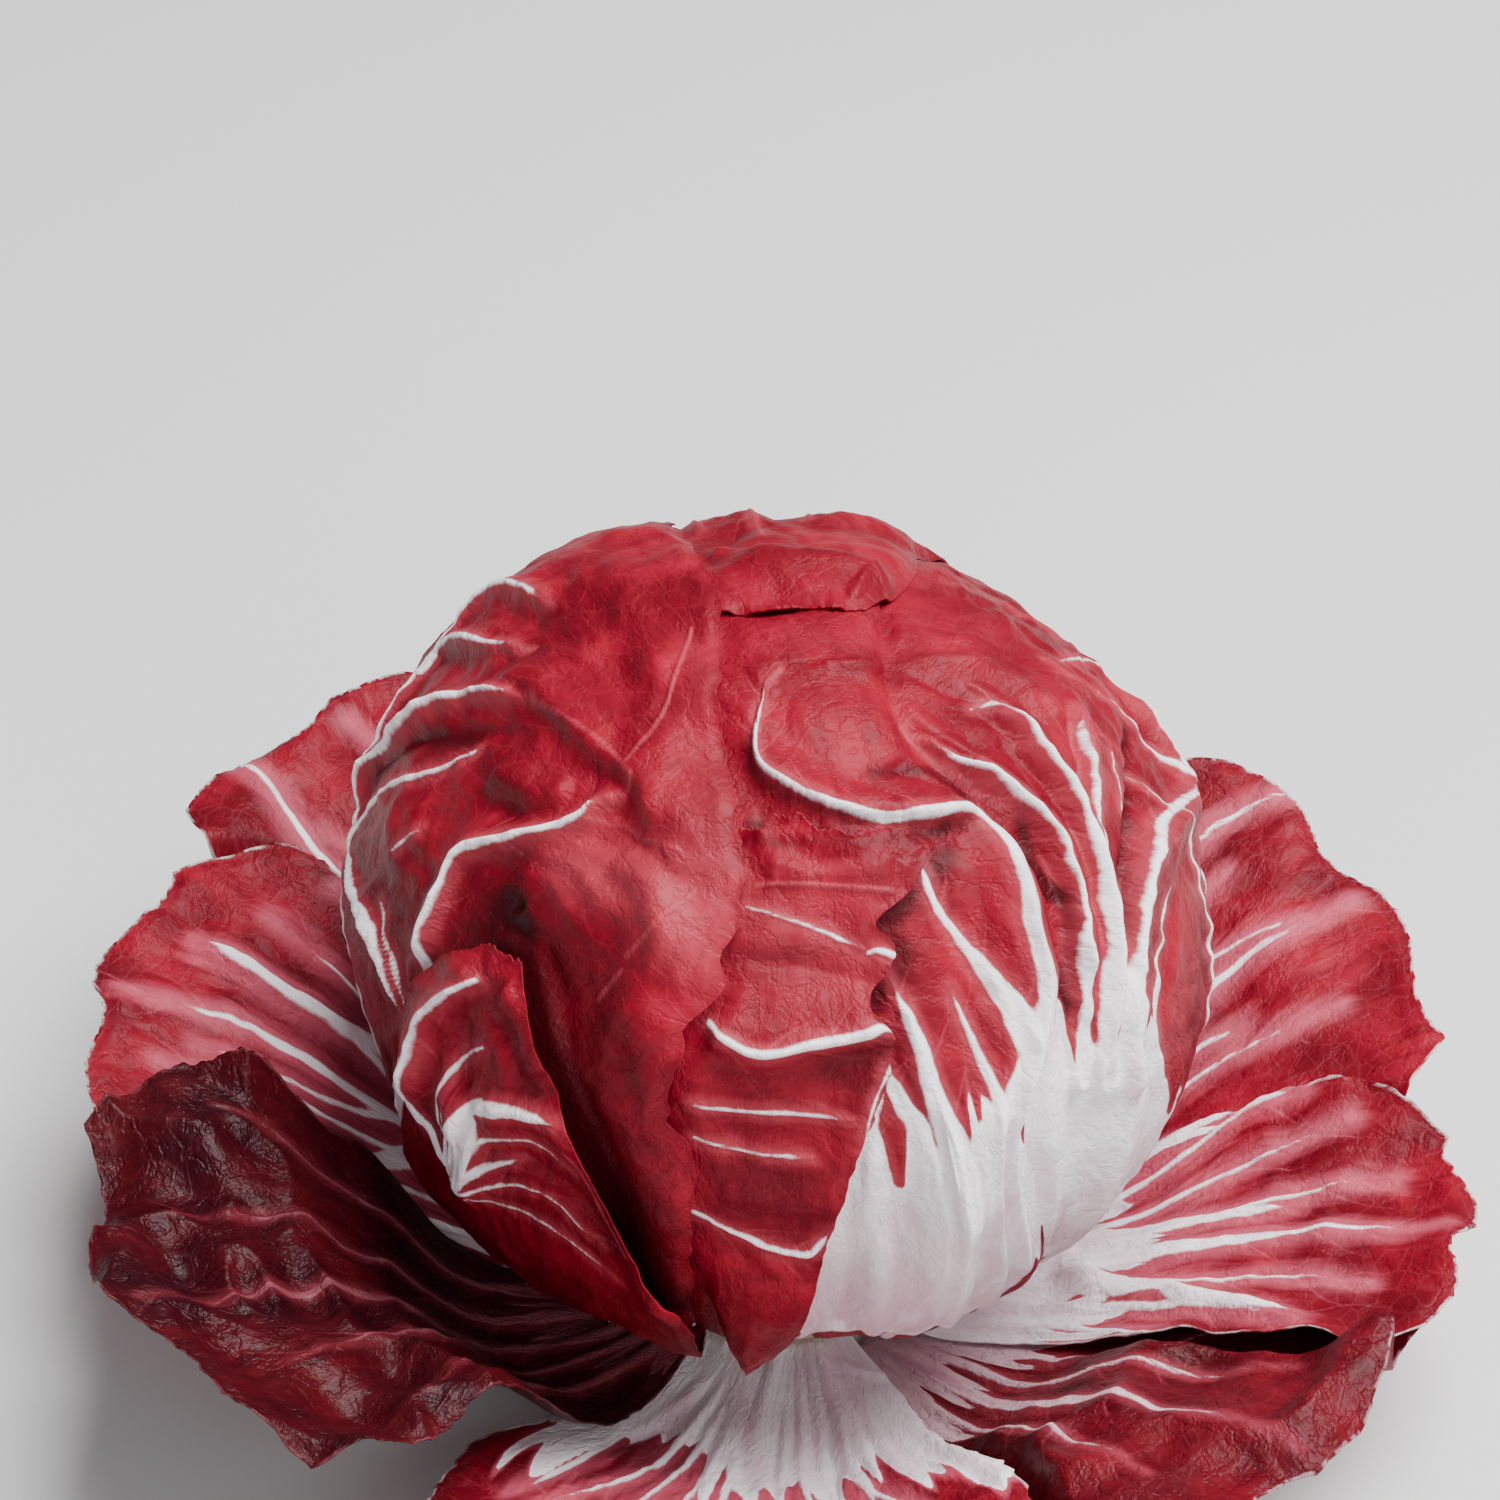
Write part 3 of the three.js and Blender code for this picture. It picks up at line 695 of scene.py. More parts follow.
    def vein_field(self, points: Array) -> Array:
        """How near the fine veins are. Each thins towards its end.

        Args:
            points: Places on the leaf's chart.

        Returns:
            The distance to the nearest, in millimetres.
        """
        nearest = np.full(points.shape[:-1], VEIN_FIELD)
        for path in self.veinlets:
            distance, _, share = nearest_on_path(points, path, VEIN_FIELD)
            nearest = np.minimum(nearest, distance + 0.35 * share)
        for rib, path in self.rib_paths:
            if max(rib.widths) <= THINNEST_RIB:
                nearest = np.minimum(nearest, 0.7 * nearest_on_path(points, path, VEIN_FIELD)[0])
        return nearest

    def flow(self, points: Array) -> Array:
        """What the leaf's streaks and creases follow. It fans out from a point behind the base.

        Args:
            points: Places on the leaf's chart.

        Returns:
            Millimetres across and along the leaf, gently bent, and a number of the leaf's own.
        """
        foot, tip = self.flat(self.rails[1][[0, -1]])
        ahead = unit(tip - foot)
        away = points - (foot - FAN_BEHIND * ahead)
        along = away @ ahead
        aside = ahead[0] * away[..., 1] - ahead[1] * away[..., 0]
        sides = [np.arctan2(aside, along) * FAN_RADIUS, np.hypot(aside, along)]
        x, y = (sides[k] * scale for k, scale in self.grain.value)
        raw = np.stack([x, y, np.full(x.shape, self.seed % 97)], -1)
        bend = 3.0 * noise(raw, 22.0, self.seed + 21) + 0.8 * noise(raw, 7.0, self.seed + 22)
        return raw + np.stack([bend, 0 * x, 0 * x], -1)

    def flesh_and_rise(self, u: Array, v: Array, points: Array) -> tuple[Array, Array]:
        """Where the leaf is white, and how far its ribs stand out.

        Args:
            u: Shares of the way across the leaf.
            v: Shares of the way along it.
            points: The same places on the leaf's chart.

        Returns:
            The distance to the nearest edge of white flesh, negative inside it, and the ribs' rise out of
            the blade, both in millimetres.
        """
        nearest = np.full(points.shape[:-1], UNMEASURED)
        rise = np.zeros(points.shape[:-1])
        for rib, path in self.rib_paths:
            distance, side, share = nearest_on_path(points, path, 7 + max(rib.widths))
            width = np.maximum(rib.width(share), 0.5)
            run = np.linalg.norm(np.diff(path, axis=0), axis=1).sum()
            course = np.stack([share * run - 1.6 * distance, side, 0 * share + run], -1)
            fray = noise(course, 3.6, self.seed + 41) + 0.6 * noise(course, 1.5, self.seed + 42)
            wide = 0.03 + 0.08 * width
            if max(rib.widths) > THINNEST_RIB:
                nearest = np.minimum(nearest, distance - rib.width(share) / 2 + wide * fray)
            crest = np.exp(-((distance / (0.62 * width)) ** 2))
            rise = np.maximum(rise, rib.proud * np.sqrt(width) * crest)
        tongues = noise(np.stack([u * 15, v * 2.2, 0 * u], -1), 1.0, self.seed + 31)
        tongues = tongues + 0.7 * noise(np.stack([u * 42, v * 4, 0 * u], -1), 1.0, self.seed + 32)
        nearest = np.minimum(nearest, (v - self.flame) * 90 + 15 * tongues)
        for outline in self.flesh_outlines:
            nearest = np.minimum(nearest, outside(points, outline) + 3.2 * tongues)
        return nearest, rise

    def creases(self, skin: Skin) -> Array:
        """The blade's crinkles: fine ones along its length and lumps of a few millimetres.

        Args:
            skin: What is known at each point.

        Returns:
            Their height, in millimetres.
        """
        flow, seed = skin.flow, self.seed
        streaks = noise(flow * [1, 0.4, 1], 2.6, seed) + 0.6 * noise(flow * [1, 0.5, 1], 1.3, seed + 2)
        lumps = noise(flow * [1, 0.7, 1], 11.0, seed + 4) + 0.5 * noise(flow, 5.0, seed + 5)
        bent = flow + 2.5 * noise(flow, 9.0, seed + 11)[..., None]
        sharp = 0.35 - np.abs(noise(bent * [1, 0.55, 1], 8.0, seed + 12))
        sharp = sharp + 0.5 * (0.35 - np.abs(noise(bent, 4.2, seed + 13)))
        where = smooth(noise(flow, 26.0, seed + 14), -0.5, 0.4)
        total = self.crinkle * (streaks + smooth(skin.vein, 0, 2.4))
        total = total + self.swell * lumps + 1.5 * self.swell * where * sharp
        strands = noise(np.stack([skin.u * 22, skin.v * 1.5, 0 * skin.u], -1), 1.0, seed + 15)
        inside = 1 - smooth(skin.flesh, -2.5, 0.0)
        total = total * (1 - 0.6 * inside) + 1.5 * inside * strands
        return np.where(total < 0, total * smooth(skin.edge, 0, 5), total)

    def lifted(self, edge: Array) -> Array:
        """How far the blade stands off at its margin, in millimetres."""
        return self.lift * np.exp(-edge / LIFTED_MARGIN)

    def painted_shade_at(self, points: Array) -> Array:
        """How much painted light and shade its patches put on the blade.

        Args:
            points: Places on the leaf's chart.

        Returns:
            From -1 in the deepest painted shade to 1 in the brightest painted light.
        """
        total = np.zeros(points.shape[:-1])
        for shade_patch, path in self.painted_shade_paths:
            distance = nearest_on_path(points, path, 3 * shade_patch.width)[0]
            total += shade_patch.amount * np.exp(-((distance / shade_patch.width) ** 2))
        return np.clip(total, -1, 1)

    def faces(
        self, skin: Skin, beneath: Sequence["Leaf"], above: Sequence["Leaf"]
    ) -> tuple[Array, Array]:
        """The leaf's outer and inner faces.

        Args:
            skin: What is known at each point.
            beneath: The leaves that it lies over.
            above: The leaves that lie over it.

        Returns:
            The points of the outer face and of the inner one, in millimetres.
        """
        raise NotImplementedError

    def build(self, beneath: Sequence["Leaf"], above: Sequence["Leaf"]) -> bpy.types.Object:
        """Args:
            beneath: The leaves that it lies over.
            above: The leaves that lie over it.

        Returns:
            The finished piece.
        """
        u, v = grid_of(*self.grid, self.focus, self.focus_along)
        places = self.place(u, v)
        points = self.flat(places)
        edge = np.maximum(-outside(points, self.outline), 0)
        flesh, rise = self.flesh_and_rise(u, v, points)
        skin = Skin(u, v, places, points, edge, rise, flesh, self.vein_field(points), self.flow(points))
        outer, inner = self.faces(skin, beneath, above)
        rim = edge + 5 * (1 - self.rim)
        # The pale attribute carries the leaf's painted light and shade.
        values = {"rib": flesh, "edge": rim, "pale": self.painted_shade_at(points), "vein": skin.vein}
        piece = shell(self.name, outer, inner, values, skin.flow)
        piece.data.materials.append(self.finish.material())
        return enter(piece, self.node, self.finish.slot)


def added(name: str, data: Any) -> bpy.types.Object:
    """A new object with this data, in the scene."""
    made = bpy.data.objects.new(name, data)
    bpy.context.collection.objects.link(made)
    return made


def keep(mesh: bpy.types.Mesh, values: dict[str, Array], flow: Array) -> None:
    """Keeps numbers and the flow of each point as the mesh's attributes, and smooths its shading."""
    for key, value in values.items():
        mesh.attributes.new(key, "FLOAT", "POINT").data.foreach_set("value", value)
    mesh.attributes.new("flow", "FLOAT_VECTOR", "POINT").data.foreach_set("vector", flow.ravel())
    mesh.shade_smooth()


def enter(piece: bpy.types.Object, node: str, slot: str) -> bpy.types.Object:
    """Enters a finished piece in the frame: hides the node that it replaces and puts it in the root body.
    """
    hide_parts(node)
    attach(piece, "root")
    log.info("%s: %d faces", piece.name, len(piece.data.polygons))
    return piece


def shell(
    name: str, outer: Array, inner: Array, values: dict[str, Array], flow: Array
) -> bpy.types.Object:
    """A closed blade from two grids of points, the inner face with every second point of its grid.

    Args:
        name: The piece's name.
        outer: The outer face's points, in millimetres, one row for each step along.
        inner: The inner face's points. The numbers of steps along and across are even.
        values: Numbers for each point, kept as attributes.
        flow: The attribute that streaks follow.

    Returns:
        The object.
    """
    fine = np.arange(outer[..., 0].size).reshape(outer.shape[:2])
    coarse = fine.size + np.arange(fine[::2, ::2].size).reshape(fine[::2, ::2].shape)

    def quads(grid: Array) -> Array:
        """The quads between a grid's points."""
        corners = [grid[:-1, :-1], grid[:-1, 1:], grid[1:, 1:], grid[1:, :-1]]
        return np.stack([c.ravel() for c in corners], 1)

    def round_rim(grid: Array) -> Array:
        """The grid's outermost points, in order."""
        return np.concatenate([grid[0, :-1], grid[:-1, -1], grid[-1, :0:-1], grid[:0:-1, 0]])

    outer_rim, inner_rim = round_rim(fine), round_rim(coarse)
    wall = np.stack(
        [outer_rim[::2], inner_rim, np.roll(inner_rim, -1), np.roll(outer_rim, -2)[::2], outer_rim[1::2]], 1
    )
    points = np.vstack([outer.reshape(-1, 3), inner[::2, ::2].reshape(-1, 3)]) * MM
    faces = [quads(fine), quads(coarse)[:, ::-1], wall]
    a, b, c = (points[faces[0][:, k]] for k in range(3))
    outwards = (outer - inner)[:-1, :-1].reshape(-1, 3)
    if np.sum(np.cross(b - a, c - a) * outwards) < 0:
        faces = [f[:, ::-1] for f in faces]
    mesh = bpy.data.meshes.new(name)
    mesh.from_pydata(points.tolist(), [], [row for f in faces for row in f.tolist()])
    both = {key: np.concatenate([value.ravel(), value[::2, ::2].ravel()]) for key, value in values.items()}
    keep(mesh, both, np.vstack([flow.reshape(-1, 3), flow[::2, ::2].reshape(-1, 3)]))
    return added(name, mesh)


def thickness(edge: Array) -> Array:
    """A blade's thickness, thin at its margin, in millimetres."""
    return EDGE_BLADE + (BLADE - EDGE_BLADE) * smooth(edge, 0, THIN_MARGIN)


def free_of(leaves: Sequence[Leaf], places: Array, reach: Reach) -> Array:
    """1 where none of the leaves lies on these places, 0 beneath one."""
    free = np.ones(places.shape[:-1])
    for leaf in leaves:
        free = free * (1 - leaf.cover(places, reach))
    return free


HIDDEN = Reach(-9.0, -4.0)
HIDDEN_SINK = 1.6
HEART_SPARE = 7.0


class HeadLeaf(Leaf):
    """A leaf wrapped on the head, drawn in directions from the head's centre."""

    def open_chart(self) -> None:
        """Centres the chart on the middle of the leaf."""
        half = np.array([0.5])
        self.chart = Chart(self.loft(half, half)[0])

    def flat(self, places: Array) -> Array:
        """Directions on the leaf's chart."""
        return self.chart.flat(places)

    def curve_on(self, path: Sequence[Array]) -> Array:
        """A smooth curve of directions."""
        return unit(super().curve_on(path))

    def loft(self, u: Array, v: Array) -> Array:
        """Directions between the rails, on great circles."""
        left, middle, right = (unit(along_curve(rail, v)) for rail in self.rails)
        inner = between(left, middle, 2 * u)
        outer = between(middle, right, 2 * u - 1)
        return np.where((u < 0.5)[..., None], inner, outer)

    def cover(self, places: Array, reach: Reach = DRAPE) -> Array:
        """As for any leaf, but nothing on the far side of the head."""
        near = np.arccos(np.clip(places @ self.chart.centre, -1, 1)) < 2.6
        return np.where(near, super().cover(places, reach), 0.0)

    def faces(
        self, skin: Skin, beneath: Sequence[Leaf], above: Sequence[Leaf]
    ) -> tuple[Array, Array]:
        """As for any leaf, at distances from the head's centre."""
        directions, edge = skin.places, skin.edge
        free = free_of(above, directions, TUCK)
        heart = heart_radius(directions)
        level, floor = heart + GAP, heart - HEART_SPARE * free_of(beneath, directions, TUCK)
        for leaf in beneath:
            level = level + LAYER * leaf.cover(directions)
            floor = floor + LAYER * leaf.cover(directions, TUCK)
        folds = relief(self.fold_paths, skin.points)
        level = level + free * (folds + self.creases(skin) * (1 - 0.8 * smooth(-folds, 1, 5)))
        level = level + free * self.lifted(edge) * smooth(skin.v, 0.15, 0.4)
        level = np.maximum(level, floor) - HIDDEN_SINK * (1 - free_of(above, directions, HIDDEN))
        outer = level + thickness(edge) + free * skin.rise * smooth(edge, 0, 1.5)
        return (
            HEAD_CENTRE + directions * outer[..., None],
            HEAD_CENTRE + directions * level[..., None],
        )


BOWL_RADII = [0, 20, 30, 40, 50, 60, 70, 80, 95, 120]
BOWL_SHARE = [0, 0.02, 0.09, 0.2, 0.36, 0.56, 0.76, 0.9, 1, 1.04]
BOWL_HEIGHT = 31
LOWEST_BLADE = 0.4


def bowl(x: Array | float, y: Array | float) -> Array:
    """The height of the bowl that the outer leaves lie in, over x, y, in millimetres.

    It stands higher at the back.
    """
    radius = np.hypot(x, y) + 1e-6
    lift = BOWL_HEIGHT + (12 * y - 3 * x) / radius
    return 1.0 + lift * np.interp(radius, BOWL_RADII, BOWL_SHARE)


def plan(*points: Pixel) -> list[Array]:
    """Points of the plan, in millimetres from the stump's axis."""
    return [np.array(p, float) for p in points]


def bowl_px(*pixels: Pixel) -> list[Array]:
    """Points of the plan that show at pixels of the photograph, on the bowl's leaves."""
    return EYE.in_bowl(pixels, lambda x, y: float(bowl(x, y)) + 3.0)


@dataclass
class OuterLeaf(Leaf):
    """A loose leaf spread in the bowl, drawn in plan.

    Args:
        ruffle: The height of its margin's ruffles, in millimetres.
        crumple: The height of its blade's crumples, in millimetres.
    """

    ruffle: float = 3.0
    crumple: float = 0.0

    def open_chart(self) -> None:
        """The plan is the chart."""

    def flat(self, places: Array) -> Array:
        """Places in plan are already flat."""
        return np.asarray(places)

    def loft(self, u: Array, v: Array) -> Array:
        """Places in plan between the rails."""
        left, middle, right = (along_curve(rail, v) for rail in self.rails)
        u = u[..., None]
        return np.where(u < 0.5, left + (middle - left) * 2 * u, middle + (right - middle) * (2 * u - 1))

    def crumpled(self, skin: Skin) -> Array:
        """The ruffled margin and the crumpled blade.

        Args:
            skin: What is known at each point.

        Returns:
            Their height over where the leaf would lie flat, in millimetres.
        """
        u, v, flow = skin.u, skin.v, skin.flow
        edge = np.maximum(np.abs(2 * u - 1) ** 3, v**4) * smooth(v, 0.3, 0.7)
        waves = 1 + noise(flow, 13.0, self.seed) + 0.5 * noise(flow, 6.0, self.seed + 8)
        ruffle = self.ruffle * edge * waves
        bends = 1 - np.abs(noise(flow * [1, 0.8, 1], 17.0, self.seed + 9)) * 2
        small = 1 - np.abs(noise(flow, 8.0, self.seed + 10)) * 2
        away = smooth(v, 0.3, 0.6)
        return ruffle + self.crumple * away * (1.6 + bends + 0.55 * small)

    def faces(
        self, skin: Skin, beneath: Sequence[Leaf], above: Sequence[Leaf]
    ) -> tuple[Array, Array]:
        """As for any leaf, at heights over the plan."""
        u, v, places, edge = skin.u, skin.v, skin.places, skin.edge
        free = free_of(above, places, TUCK)
        level = bowl(places[..., 0], places[..., 1])
        for leaf in beneath:
            level = level + LAYER * leaf.cover(places)
        away = smooth(v, 0.15, 0.4)
        rise = relief(self.fold_paths, places) + self.crumpled(skin)
        level = level + free * (rise + away * (self.creases(skin) + self.lifted(edge)))
        level = np.maximum(level, LOWEST_BLADE)
        midrib = 1.6 * (1 - 0.75 * v) * np.exp(-(((u - 0.5) / (0.075 - 0.04 * v)) ** 2))
        top = level + thickness(edge) + free * np.maximum(skin.rise, midrib)
        return np.dstack([places, top]), np.dstack([places, level])


class Value:
    """A number, or another socket's value, in a tree. Arithmetic on it adds Math nodes."""

    def __init__(self, tree: "Tree", socket: bpy.types.NodeSocket) -> None:
        """Wraps one socket of a tree."""
        self.tree = tree
        self.socket = socket

    def _math(self, operation: str, first: Any, second: Any) -> "Value":
        """One Math node on two values."""
        return self.tree.node("ShaderNodeMath", {"operation": operation}, {0: first, 1: second}).value()

    def __add__(self, other: Any) -> "Value":
        """The sum."""
        return self._math("ADD", self, other)

    __radd__ = __add__

    def __sub__(self, other: Any) -> "Value":
        """The difference."""
        return self._math("SUBTRACT", self, other)

    def __rsub__(self, other: Any) -> "Value":
        """The difference, from a number."""
        return self._math("SUBTRACT", other, self)

    def __mul__(self, other: Any) -> "Value":
        """The product."""
        return self._math("MULTIPLY", self, other)

    __rmul__ = __mul__

    def __abs__(self) -> "Value":
        """The distance from 0."""
        return self._math("ABSOLUTE", self, 0.0)

    def step(self, low: float, high: float) -> "Value":
        """A smooth step from 0 at low to 1 at high."""
        settings = {"interpolation_type": "SMOOTHSTEP"}
        sockets = {"Value": self, "From Min": low, "From Max": high}
        return self.tree.node("ShaderNodeMapRange", settings, sockets).value("Result")


class Made:
    """A node that has been added, with ways to its outputs."""

    def __init__(self, tree: "Tree", node: bpy.types.Node) -> None:
        """Keeps the node and the tree that it is in."""
        self.tree = tree
        self.node = node

    def value(self, output: Any = 0) -> Value:
        """One of its outputs, as a value."""
        return Value(self.tree, self.node.outputs[output])


class Tree:
    """A tree of nodes, with a method for any node."""

    def __init__(self, tree: bpy.types.NodeTree) -> None:
        """Empties the tree."""
        self.tree = tree
        self.tree.nodes.clear()

    def node(self, kind: str, settings: dict[str, Any], sockets: dict[Any, Any]) -> Made:
        """Adds a node.

        Args:
            kind: The node's type.
            settings: Its own settings, set first.
            sockets: Numbers, colours or values for its input sockets.

        Returns:
            The node.
        """
        node = self.tree.nodes.new(kind)
        for key, setting in settings.items():
            setattr(node, key, setting)
        for key, given in sockets.items():
            if isinstance(given, Value):
                self.tree.links.new(given.socket, node.inputs[key])
            else:
                node.inputs[key].default_value = given
        return Made(self, node)


class Paint(Tree):
    """One material's tree."""

    def __init__(self, name: str) -> None:
        """Starts an empty material."""
        self.made = bpy.data.materials.new(name)
        self.made.use_nodes = True
        super().__init__(self.made.node_tree)

    def attribute(self, name: str, output: str = "Fac") -> Value:
        """An attribute of the piece."""
        return self.node("ShaderNodeAttribute", {"attribute_name": name}, {}).value(output)

    def scaled(self, vector: Value, by: tuple[float, float, float]) -> Value:
        """A vector stretched along its axes."""
        settings = {"operation": "MULTIPLY"}
        return self.node("ShaderNodeVectorMath", settings, {0: vector, 1: by}).value("Vector")

    def noise(self, vector: Value, scale: float, detail: float = 3.0, roughness: float = 0.55) -> Value:
        """Noise from 0 to 1."""
        sockets = {"Vector": vector, "Scale": scale, "Detail": detail, "Roughness": roughness}
        return self.node("ShaderNodeTexNoise", {}, sockets).value("Fac")

    def cells(self, vector: Value, scale: float) -> Value:
        """The distance to the nearest border between random cells."""
        made = self.node(
            "ShaderNodeTexVoronoi", {"feature": "DISTANCE_TO_EDGE"}, {"Vector": vector, "Scale": scale}
        )
        return made.value("Distance")

    def mix(self, share: Any, first: Any, second: Any) -> Value:
        """A colour between two colours."""
        settings = {"data_type": "RGBA"}
        colours = [(*colour, 1.0) if isinstance(colour, tuple) else colour for colour in (first, second)]
        made = self.node("ShaderNodeMix", settings, {0: share, 6: colours[0], 7: colours[1]})
        return made.value(2)

    def finish(self, sockets: dict[str, Any]) -> bpy.types.Material:
        """Ends the tree in a Principled shader with these sockets."""
        shader = self.node("ShaderNodeBsdfPrincipled", {}, sockets).value("BSDF")
        self.node("ShaderNodeOutputMaterial", {}, {"Surface": shader})
        return self.made


@dataclass(frozen=True)
class LeafFinish:
    """The waxy skin of a leaf: red blade, white ribs with ragged edges, pale margin, painted light and
    shade.

    Args:
        name: The material's name.
        slot: The record's slot.
        bright: The blade's red where it is brightest.
        deep: The blade's red where it is deepest.
        pale: What the blade pales to beside the white flesh, over veins and in its painted highlights.
        rib: The white flesh.
        rib_shade: The flesh's darker streaks.
        blush: How far the blade pales beside the flesh, from 0 to 1.
        spread: How far from the flesh that reaches, in millimetres.
        roughness: The skin's mean roughness.
        wrinkle: How strong its finest relief is, from 0 to 1.
    """

    name: str
    slot: str
    bright: Colour
    deep: Colour
    pale: Colour
    rib: Colour
    rib_shade: Colour
    blush: float = 0.5
    spread: float = 2.2
    roughness: float = 0.46
    wrinkle: float = 0.5

    def material(self) -> bpy.types.Material:
        """The finish's material, made once."""
        return bpy.data.materials.get(self.name) or self._make()

    def _make(self) -> bpy.types.Material:
        """Paints the skin from the piece's attributes and its Object coordinates.

        Returns:
            The material.
        """
        paint = Paint(self.name)
        flow = paint.attribute("flow", "Vector")
        space = paint.node("ShaderNodeTexCoord", {}, {}).value("Object")
        streaks = paint.noise(paint.scaled(flow, (0.9, 0.07, 1.0)), 1.0, 4.0)
        threads = paint.noise(paint.scaled(flow, (2.6, 0.16, 1.0)), 1.0, 3.0)
        lumps = paint.noise(space, 70.0, 4.0)
        grain = paint.noise(space, 900.0, 3.0)
        rib = paint.attribute("rib")
        edge = paint.attribute("edge")
        # The painted light and shade that each leaf's patches carry in its pale attribute.
        shade_patch = paint.attribute("pale")
        ragged = rib + (streaks - 0.5) * 0.3 + (threads - 0.5) * 0.35 + (grain - 0.5) * 0.25
        white = 1 - ragged.step(-0.3, 0.16)
        blush = 1 - (ragged + (streaks - 0.5) * self.spread).step(-0.2, self.spread)
        red = paint.mix(lumps.step(0.3, 0.72), self.deep, self.bright)
        red = paint.mix(streaks.step(0.45, 0.72) * 0.6, red, self.deep)
        net = 1 - paint.cells(paint.scaled(flow, (0.42, 0.3, 1.0)), 1.0).step(0.0, 0.07)
        fine = paint.attribute("vein") + (grain - 0.5) * 0.3 + (streaks - 0.5) * 0.5
        veins = 1 - fine.step(0.0, 0.5)
        red = paint.mix(net * 0.06, red, self.pale)
        red = paint.mix(veins * 0.45, red, self.pale)
        # Painted highlight where a patch is paler, painted shade at a quarter of the deep red where it is
        # darker.
        red = paint.mix(shade_patch.step(0.0, 1.0) * 0.75, red, self.pale)
        red = paint.mix((0 - shade_patch).step(0.0, 1.0) * 0.9, red, tuple(0.25 * c for c in self.deep))
        red = paint.mix(blush * self.blush, red, self.pale)
        strands = paint.noise(paint.scaled(flow, (0.2, 0.035, 1.0)), 1.0, 3.0)
        flesh = paint.mix(threads.step(0.35, 0.7) * 0.35, self.rib, self.rib_shade)
        deep_flesh = (0 - rib).step(1.0, 4.0)
        flesh = paint.mix(strands.step(0.42, 0.68) * deep_flesh * 0.75, flesh, self.rib_shade)
        flesh = paint.mix(lumps.step(0.5, 0.75) * 0.35, flesh, self.rib_shade)
        skin = paint.mix(white, red, flesh)
        rim = (1 - (edge + (threads - 0.5) * 0.5).step(0.1, 0.45)) * streaks.step(0.42, 0.56)
        skin = paint.mix(rim * 0.5, skin, self.rib)
        pits = paint.noise(space, 340.0, 3.0)
        small = paint.noise(paint.scaled(flow, (0.9, 0.5, 1.0)), 1.0, 4.0, 0.6)
        folds = paint.noise(paint.scaled(flow, (0.33, 0.16, 1.0)), 1.0, 4.0, 0.6)
        crease = abs(folds - 0.5).step(0.0, 0.05)
        pleats = paint.noise(paint.scaled(flow, (0.8, 0.06, 1.0)), 1.0, 3.0)
        height = small * 0.4 + pits * 0.24 + crease * 0.16 + pleats * 0.34
        height = height + veins * 0.12 + net * 0.05 + white * 0.1
        sockets = {"Height": height, "Strength": self.wrinkle, "Distance": 0.0011}
        bump = paint.node("ShaderNodeBump", {}, sockets).value("Normal")
        rough = paint.noise(space, 160.0, 2.0) * 0.16 + (self.roughness - 0.08)
        return paint.finish(
            {
                "Base Color": skin,
                "Roughness": rough,
                "Normal": bump,
                "Specular IOR Level": 0.13,
                "Subsurface Weight": 0.08,
                "Subsurface Radius": (1.0, 0.35, 0.3),
                "Subsurface Scale": 0.0015,
            }
        )


HEAD_SKIN = LeafFinish(
    "head_leaf_skin", "head_leaf",
    bright=(0.3, 0.006, 0.022), deep=(0.13, 0.002, 0.009), pale=(0.45, 0.055, 0.08),
    rib=(0.95, 0.92, 0.94), rib_shade=(0.7, 0.5, 0.58),
)
OUTER_SKIN = LeafFinish(
    "outer_leaf_skin", "outer_leaf",
    bright=(0.27, 0.006, 0.02), deep=(0.1, 0.002, 0.007), pale=(0.55, 0.095, 0.145),
    rib=(0.9, 0.86, 0.88), rib_shade=(0.74, 0.56, 0.63), blush=0.7, spread=4.0,
)
SHADED_SKIN = LeafFinish(
    "shaded_leaf_skin", "outer_leaf",
    bright=(0.15, 0.004, 0.011), deep=(0.055, 0.001, 0.004), pale=(0.33, 0.045, 0.07),
    rib=(0.62, 0.42, 0.46), rib_shade=(0.42, 0.2, 0.26), roughness=0.4, wrinkle=0.7,
)
# The crumpled front left leaf's skin, darker than the outer skin: partly the older leaf's own deep red,
# partly painted shade.
DARK_SKIN = LeafFinish(
    "dark_leaf_skin", "dark_leaf",
    bright=(0.065, 0.003, 0.006), deep=(0.02, 0.001, 0.003), pale=(0.17, 0.02, 0.03),
    rib=(0.2, 0.05, 0.065), rib_shade=(0.12, 0.02, 0.03), roughness=0.36, wrinkle=0.7,
)


